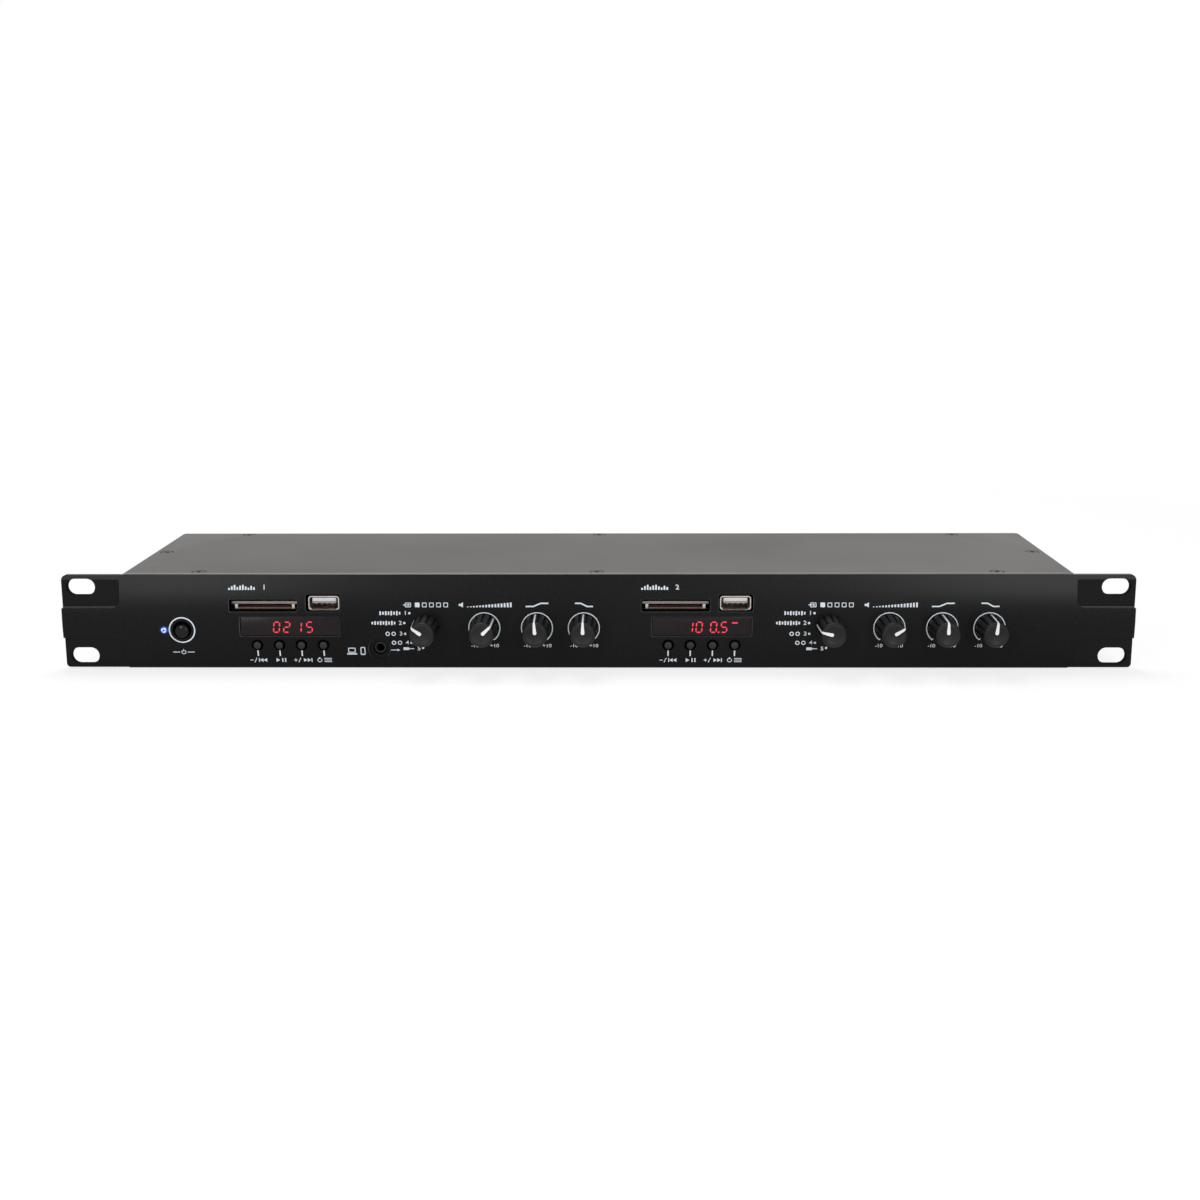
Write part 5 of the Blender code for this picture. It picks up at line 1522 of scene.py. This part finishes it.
through = [added(bpy.ops.mesh.primitive_cylinder_add, "hole", vertices=48, radius=0.00169,
                 depth=0.004, location=(x, y, cover_high.z - 0.001)) for x, y in screw_places]
carved(cover, through)
carved(cover, sinks)
smooth(cover, 25)


# Faces inside a countersink, which get painted shade.
def in_sink(face):
    place = face.center
    near = min(math.hypot(place.x - x, place.y - y) for x, y in screw_places)
    return near < SINK_RADIUS - 0.00005 and place.z < cover_high.z - 0.0001


print("cover faces:", len(cover.data.polygons), "screws:", len(screw_places))

# %% [markdown]
# The coat is a warm grey stove enamel with a very fine orange peel, sprayed on steel. Over so
# large a flat the tone drifts in soft clouds of a hand's width, and the peel, really about
# 0.5 mm, is drawn at 0.9 mm so that it shows.

# %% Grey stove enamel
enamel = grained("grey_stove_enamel", "#605e5c", 0.55, "#585654", "#686664", 0.0009, drift=0.12,
                 depth=0.00002, strength=0.3, sheen=(0.5, 0.6), cloud=0.75,
                 Specular_IOR_Level=0.08)
# Painted shade: a dull near black for the countersinks, the gaps under the heads and the cross
# recesses.
recess_shade_steel = grained("painted_shade_steel", "#0d0d0e", 0.6, "#09090a", "#121213", 0.0003,
                      metallic=0.2, drift=0.005, depth=0.000006, Specular_IOR_Level=0.08)
share_out(cover, (enamel, recess_shade_steel), in_sink)
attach(cover, "player")
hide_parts("top_cover")
print("cover is", round((cover_high.x - cover_low.x) * 1000, 1), "mm wide")

# %% [markdown]
# A countersunk screw is a cone with a slightly domed head and a cross recess. The recess is
# two crossed wedges, deeper in the middle. One screw is modelled and copied.

# %% Cover screws
screw = added(bpy.ops.mesh.primitive_cone_add, "screw", vertices=48, radius1=0.0016,
              radius2=0.0028, depth=0.0011, location=(0.0, 0.0, -0.00062))
shaping(screw, "FACE")
choose(screw, "FACE", lambda place, normal: normal.z > 0.9)
bpy.ops.mesh.inset(thickness=0.0004)
bpy.ops.transform.translate(value=(0.0, 0.0, 0.00004))
done()
arms = []
for turn in (0, 90):
    arm = block((-0.0019, -0.0006, -0.0009), (0.0019, 0.0006, 0.0006), "arm")
    shaping(arm, "FACE")
    choose(arm, "FACE", lambda place, normal: normal.z < -0.9)
    bpy.ops.transform.resize(value=(0.45, 0.55, 1.0), center_override=(0.0, 0.0, 0.0))
    done()
    arm.rotation_euler = (0.0, 0.0, math.radians(turn))
    arms.append(settled(arm))
carved(arms[0], [arms[1]], "UNION")
carved(screw, [arms[0]])
smooth(screw, 30)


def in_cross(face):
    """True in the recess and under the rim of the head, where painted shade goes."""
    centred = math.hypot(face.center.x, face.center.y) < 0.0021
    return face.center.z < (-0.00012 if centred else -0.0002)


share_out(screw, (enamel, recess_shade_steel), in_cross)
for index, (x, y) in enumerate(screw_places):
    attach(placed_copy(screw, f"cover_screw_{index + 1}", (x, y, cover_high.z),
                        spin=math.radians(37 * index % 90)), "player")
discard(screw)
print("cover screws:", len(screw_places))

# %% [markdown]
# The rear panel is held by six domed screws of bright nickel. The head is turned from a profile,
# its cross cut by two arms, and copied to the corners and the middle of the panel.

# %% Rear screws
rear_low, rear_high = corners("rear_panel")
rear_face = rear_high.y
head = turned([(0.0, 0.0), (0.0027, 0.0), (0.0027, 0.0006), (0.0025, 0.0011), (0.002, 0.0015),
               (0.0012, 0.00175), (0.0, 0.0018)], 0.0, 0.0, 48, "rear_screw")
cross = [block((-wide, 0.0008, -high), (wide, 0.003, high), "cross")
         for wide, high in ((0.0015, 0.0003), (0.0003, 0.0015))]
carved(cross[0], [cross[1]], "UNION")
carved(head, [cross[0]])
smooth(head, 30)
# Painted shade on the floor of the cross.
share_out(head, (bright_nickel, recess_shade_steel),
          lambda face: 0.0007 < face.center.y < 0.0009 and face.normal.y > 0.9)
screw_count = 0
for x in (rear_low.x + 0.006, -0.055, rear_high.x - 0.006):
    for z in (rear_low.z + 0.0055, rear_high.z - 0.0055):
        screw_count += 1
        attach(placed_copy(head, f"rear_screw_{screw_count}", (x, rear_face, z),
                            math.radians(31 * screw_count)), "player")
discard(head)
print("rear screws:", screw_count)

# %% [markdown]
# ## Rear sockets
#
# The rear panel carries a mains inlet, a block of eight line sockets and an aerial socket. Line
# sockets have a plated barrel with a black washer, round a coloured insulator, white above and
# red below. The insulators are moulded, so they are smooth and a little glossy.

# %% Line sockets
block_low, block_high = corners("line_sockets")
centre_x = (block_low.x + block_high.x) / 2
centre_z = (block_low.z + block_high.z) / 2
barrel_front = rear_face - 0.0013
line_block = block(block_low, (block_high.x, barrel_front, block_high.z), "line_block")
round_edges(line_block, 0.0005, 2,
            lambda m, a: m.y > barrel_front - 0.0001 or runs_along(1)(m, a))
dress(smooth(line_block, 35), moulded)
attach(line_block, "player")
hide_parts("line_sockets")
LINE_PITCH = 0.019
LINE_RISE = 0.00725
rear = block_high.y
shell_shape = [(0.00375, rear), (0.00405, rear), (0.0042, rear - 0.0002), (0.0042, barrel_front),
               (0.00375, barrel_front), (0.00375, rear)]
insulator_shape = [(0.0, rear - 0.007), (0.0018, rear - 0.007), (0.0018, rear - 0.0006),
                   (0.0034, rear - 0.0004), (0.00372, rear - 0.0006), (0.00372, barrel_front),
                   (0.0, barrel_front)]
barrel = smooth(turned(shell_shape, 0.0, 0.0, 48, "barrel"), 35)
insulator = smooth(turned(insulator_shape, 0.0, 0.0, 48, "insulator"), 35)
# Coloured through and moulded smooth: plain white and red with a small soft shine.
white_pom = grained("white_insulator", "#dadad6", 0.4, "#d2d2ce", "#e2e2de", 0.0004,
                    depth=0.000006)
red_pom = grained("red_insulator", "#a81c20", 0.4, "#9a181c", "#b62226", 0.0004, depth=0.000006)
washer_shape = [(0.0042, rear_face), (0.0054, rear_face), (0.0054, rear_face + 0.0004),
                (0.0052, rear_face + 0.0006), (0.0042, rear_face + 0.0006), (0.0042, rear_face)]
washer = smooth(turned(washer_shape, 0.0, 0.0, 48, "washer"), 35)
dress(washer, moulded)
dress(barrel, nickel)
for pair in range(4):
    for level in (-1, 1):
        x = centre_x + (pair - 1.5) * LINE_PITCH
        z = centre_z + level * LINE_RISE
        name = f"{pair + 1}_{'upper' if level > 0 else 'lower'}"
        shell = placed_copy(barrel, f"line_barrel_{name}", (x, 0.0, z))
        core = placed_copy(insulator, f"line_insulator_{name}", (x, 0.0, z))
        dress(core, white_pom if level > 0 else red_pom)
        ring = placed_copy(washer, f"line_washer_{name}", (x, 0.0, z))
        for piece in (shell, core, ring):
            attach(piece, "player")
discard(barrel, insulator, washer)
print("line sockets at", round(centre_x * 1000, 1), "mm")

# %% [markdown]
# The aerial socket is turned in one profile, with a thread of seven ridges, and has a nut with
# six sides on it.

# %% Aerial socket
aerial_low, aerial_high = corners("aerial_socket")
aerial_x = (aerial_low.x + aerial_high.x) / 2
aerial_z = (aerial_low.z + aerial_high.z) / 2
end = aerial_high.y
profile = [(0.0, end - 0.007), (0.0022, end - 0.007), (0.0022, end), (0.0041, end)]
for turn in range(7):
    at = end - 0.0004 - turn * 0.0008
    profile += [(0.0043, at), (0.0047, at - 0.0004)]
profile += [(0.0043, end - 0.0061), (0.0047, end - 0.0065), (0.0047, end - 0.0085)]
profile += [(0.0047, aerial_low.y + 0.001), (0.003, aerial_low.y), (0.0, aerial_low.y)]
aerial = smooth(turned(profile, aerial_x, aerial_z, 48, "aerial_thread"), 25)
dress(aerial, nickel)
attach(aerial, "player")
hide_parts("aerial_socket")
nut = added(bpy.ops.mesh.primitive_cylinder_add, "aerial_nut", vertices=6, radius=0.0068,
            depth=0.0022, location=(aerial_x, rear_face + 0.0012, aerial_z),
            rotation=(math.pi / 2, 0.0, 0.0))
carved(nut, [cylinder(0.0046, rear_face - 0.001, rear_face + 0.004, aerial_x, aerial_z)])
round_edges(nut, 0.0002, 2, lambda m, a: abs(m.y - rear_face - 0.0023) < 0.0001 and
            math.hypot(m.x - aerial_x, m.z - aerial_z) > 0.0052)
dress(smooth(nut, 30), nickel)
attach(nut, "player")
print("aerial socket at", round(aerial_x * 1000, 1), "mm")

# %% [markdown]
# The inlet is a moulded shroud with two cut corners, three flat pins and a flange. It snaps
# into the rear panel, so it needs no screws. The shroud stays as the CAD has it in outline,
# with its edges rounded, and the pins are metal pieces of their own.

# %% Mains inlet
inlet_low, inlet_high = corners("mains_inlet")
inlet_x = (inlet_low.x + inlet_high.x) / 2
inlet_z = (inlet_low.z + inlet_high.z) / 2
flange_back = inlet_high.y
shroud = block((inlet_low.x, rear_face + 0.0001, inlet_low.z), inlet_high, "inlet_shroud")
round_edges(shroud, 0.0025, 5, runs_along(1))
round_edges(shroud, 0.0005, 3, lambda m, a: abs(m.y - flange_back) < 0.00001)
body = block((inlet_x - 0.0136, flange_back - 0.018, inlet_z - 0.0098),
             (inlet_x + 0.0136, flange_back - 0.001, inlet_z + 0.0098), "inlet_body")
carved(shroud, [body], "UNION")
cavity = block((inlet_x - 0.0122, flange_back - 0.016, inlet_z - 0.0084),
               (inlet_x + 0.0122, flange_back + 0.001, inlet_z + 0.0084), "cavity")
round_edges(cavity, 0.004, 1, lambda m, a: runs_along(1)(m, a) and m.z > inlet_z)
round_edges(cavity, 0.0008, 3, lambda m, a: runs_along(1)(m, a) and m.z < inlet_z)
carved(shroud, [cavity])
dress(smooth(shroud, 35), moulded)
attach(shroud, "player")
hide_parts("mains_inlet")
pins = []
for dx, dz in ((-0.007, -0.00175), (0.007, -0.00175), (0.0, 0.00175)):
    pin = block((inlet_x + dx - 0.001, flange_back - 0.0165, inlet_z + dz - 0.00225),
                (inlet_x + dx + 0.001, flange_back - 0.0035, inlet_z + dz + 0.00225), "pin")
    pins.append(round_edges(pin, 0.0006, 3,
                            lambda m, a: abs(m.y - flange_back + 0.0035) < 0.00001))
inlet_pins = smooth(joined(pins, "inlet_pins"), 35)
dress(inlet_pins, bright_nickel)
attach(inlet_pins, "player")
print("inlet pins:", len(pins))

# %% [markdown]
# ## Finishes for the pieces that keep their CAD shape
#
# The folded steel and the parts inside keep their CAD meshes. Most get the finish of their
# real material: zinc with its faint spangle, aluminium shafts with the fine rings of the
# lathe, green glass boards whose parts are coloured by their height, and varnished laminations.
# The sub panel and the player boards are drawn near black and dull instead, a painted shade,
# so nothing bright shows through the openings of the panel.

# %% Steel, shafts and boards
# Steel drawn through molten zinc, which sets in crystals of about 6 mm.
zinc, tree, shader = new_material("zinc_plated_steel", "#a9aaa8", 0.38, 1.0)
place = lay_grain(tree, shader, "#989a98", "#b4b5b3", 0.0012, drift=0.02, depth=0.000008)
spangle = add_node(tree, "ShaderNodeTexVoronoi", {"Vector": place, "Scale": 1 / 0.006})
tone = add_node(tree, "ShaderNodeMapRange", {"Value": spangle.outputs["Color"], "To Min": 0.3,
                                             "To Max": 0.48})
tree.links.new(tone.outputs[0], shader.inputs["Roughness"])

# Painted shade: zinc drawn near black and dull, for the sub panel that shows only through gaps.
sub_panel_shade_zinc = grained("painted_shade_zinc", "#0e0e10", 0.6, "#09090b", "#141416", 0.0012,
                     drift=0.02, depth=0.000008, Specular_IOR_Level=0.15)
# Paper laminate drawn brown black and dull: a painted shade for the player boards seen through the
# openings.
board_shade_laminate = grained("painted_shade_paper_laminate", "#1e1612", 0.6, "#17110e", "#261c17", 0.0006,
                     drift=0.02, Specular_IOR_Level=0.2)


def across_depth(tree):
    """Coordinates that vary along Y only, for turned rings and stacked sheets."""
    place = add_node(tree, "ShaderNodeTexCoord").outputs["Object"]
    return add_node(tree, "ShaderNodeMapping", {"Vector": place,
                                                "Scale": (0.0, 1.0, 0.0)}).outputs[0]


# Aluminium off the lathe: fine rings that change how sharply it shines.
satin, tree, shader = new_material("turned_aluminium", "#b4b2ae", 0.3, 1.0)
rings = add_node(tree, "ShaderNodeTexNoise", {"Vector": across_depth(tree), "Scale": 1 / 0.00015,
                                              "Detail": 1.0})
tone = add_node(tree, "ShaderNodeMapRange", {"Value": rings.outputs["Fac"], "To Min": 0.22,
                                             "To Max": 0.42})
tree.links.new(tone.outputs[0], shader.inputs["Roughness"])


def board_material(name, low_colour, high_colour, level):
    """Solder mask below a height, and the dark of the parts above it."""
    made, tree, shader = new_material(name, low_colour, 0.4)
    place = add_node(tree, "ShaderNodeTexCoord").outputs["Object"]
    height = add_node(tree, "ShaderNodeSeparateXYZ", {"Vector": place}).outputs["Z"]
    above = add_node(tree, "ShaderNodeMath", {0: height, 1: level}, operation="GREATER_THAN")
    weave = add_node(tree, "ShaderNodeTexNoise", {"Vector": place, "Scale": 1 / 0.0015,
                                                  "Detail": 3.0})
    mask = add_node(tree, "ShaderNodeMix", {0: weave.outputs["Fac"], 6: colour(low_colour),
                                            7: colour("#2a5c3a")}, data_type="RGBA")
    mix = add_node(tree, "ShaderNodeMix", {0: above.outputs[0], 6: mask.outputs[2],
                                           7: colour(high_colour)}, data_type="RGBA")
    tree.links.new(mix.outputs[2], shader.inputs["Base Color"])
    return made


board_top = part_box("main_board")[0][2] + 0.0017
main_mask = board_material("green_solder_mask", "#1d4a2c", "#1c1c1e", board_top)
# Glass cloth in epoxy, sprayed with the green mask: the weave shows as faint mottling.
green = grained("green_glass_epoxy", "#1f4c2e", 0.4, "#1a4428", "#26583a", 0.0012)

# Stacked sheets of steel dipped in varnish: thin dark and light bands under a soft gloss.
varnished, tree, shader = new_material("varnished_laminations", "#3b3a3c", 0.45, 0.6)
sheets = add_node(tree, "ShaderNodeTexWave", {"Vector": across_depth(tree),
                                              "Scale": 1 / 0.001}, bands_direction="Y")
mix = add_node(tree, "ShaderNodeMix", {0: sheets.outputs["Fac"], 6: colour("#323133"),
                                       7: colour("#4a494b")}, data_type="RGBA")
tree.links.new(mix.outputs[2], shader.inputs["Base Color"])

kept = {"chassis_base": enamel, "sub_panel": sub_panel_shade_zinc, "rear_panel": zinc,
        "transformer": varnished, "main_board": main_mask, "power_switch": moulded}
for side in SIDES:
    kept[f"display_board_{side}"] = green
    kept[f"player_board_{side}"] = board_shade_laminate
    kept[f"source_switch_{side}"] = zinc
    for kind in ("volume", "treble", "bass"):
        kept[f"{kind}_control_{side}"] = zinc
    for kind in ("source", "volume", "treble", "bass"):
        kept[f"{kind}_shaft_{side}"] = satin
for node, material in kept.items():
    dress(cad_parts[node], material)
print("CAD shapes kept:", len(kept))

# %% [markdown]
# ## Light, floor and background
#
# The photograph was taken under large soft lamps: one overhead, and one at each side in front,
# which grade the ends of the bow from grey at the top edge to black. The floor is plain white,
# and turns by distance into the same white as the world behind it. Near the object a share of
# it stays lit paper, so the object keeps its own soft shadow.

# %% Floor and lamps


def seen(tree):
    """1 for rays from the camera and for those that a gloss or a lens passes on, else 0."""
    path = add_node(tree, "ShaderNodeLightPath").outputs
    share = path["Is Camera Ray"]
    for other in ("Is Glossy Ray", "Is Transmission Ray"):
        share = add_node(tree, "ShaderNodeMath", {0: share, 1: path[other]},
                         operation="MAXIMUM").outputs[0]
    return share


floor = added(bpy.ops.mesh.primitive_plane_add, "floor", size=6.0, location=(0.0, 1.5, -0.0002))
# Matt paper on a roll: no shine at all.
paper, tree, shader = new_material("white_paper", "#ffffff", 0.9)
place = add_node(tree, "ShaderNodeTexCoord").outputs["Object"]
away = add_node(tree, "ShaderNodeVectorMath", {0: place}, operation="LENGTH")
fade = add_node(tree, "ShaderNodeMapRange", {"Value": away.outputs["Value"], "From Min": 0.3,
                                             "From Max": 0.7, "To Min": 0.75, "To Max": 1.0})
share = add_node(tree, "ShaderNodeMath", {0: seen(tree), 1: fade.outputs[0]},
                 operation="MULTIPLY")
white = add_node(tree, "ShaderNodeEmission", {"Color": (1.0, 1.0, 1.0, 1.0), "Strength": 1.0})
both = add_node(tree, "ShaderNodeMixShader", {0: share.outputs[0], 1: shader.outputs[0],
                                              2: white.outputs[0]})
tree.links.new(both.outputs[0], tree.nodes["Material Output"].inputs["Surface"])
dress(floor, paper)
floor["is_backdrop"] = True


def softbox(name, place, target, size, power_watts):
    bpy.ops.object.light_add(type="AREA", location=place)
    lamp_object = bpy.context.object
    lamp_object.name = name
    lamp_object.data.shape = "RECTANGLE"
    lamp_object.data.size, lamp_object.data.size_y = size
    lamp_object.data.energy = power_watts
    direction = Vector(target) - Vector(place)
    lamp_object.rotation_euler = direction.to_track_quat("-Z", "Y").to_euler()
    return lamp_object


softbox("overhead", (-0.12, 0.3, 0.85), (0.0, 0.0, 0.0), (0.6, 0.4), 4.7)
softbox("left_front", (-0.6, -1.45, 0.46), (-0.1, -0.05, 0.02), (0.24, 0.6), 6.6)
softbox("right_front", (0.58, -1.45, 0.46), (0.1, -0.05, 0.02), (0.24, 0.6), 7.6)

world = bpy.data.worlds.new("white_world")
bpy.context.scene.world = world
world.use_nodes = True
tree = world.node_tree
background = tree.nodes["Background"]
background.inputs["Color"].default_value = (1.0, 1.0, 1.0, 1.0)
strength = add_node(tree, "ShaderNodeMapRange", {"Value": seen(tree), "To Min": 0.5,
                                                 "To Max": 1.0})
tree.links.new(strength.outputs[0], background.inputs["Strength"])
bpy.context.scene.view_settings.view_transform = "Standard"

# %% [markdown]
# ## Finish
#
# The uncut bow has served the printing and goes. The box of the dressed model is printed.

# %% Print the box and finish
discard(bow_guide)
low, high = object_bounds()
print("visual box", [round(v * 1000, 2) for v in (*low, *high)])
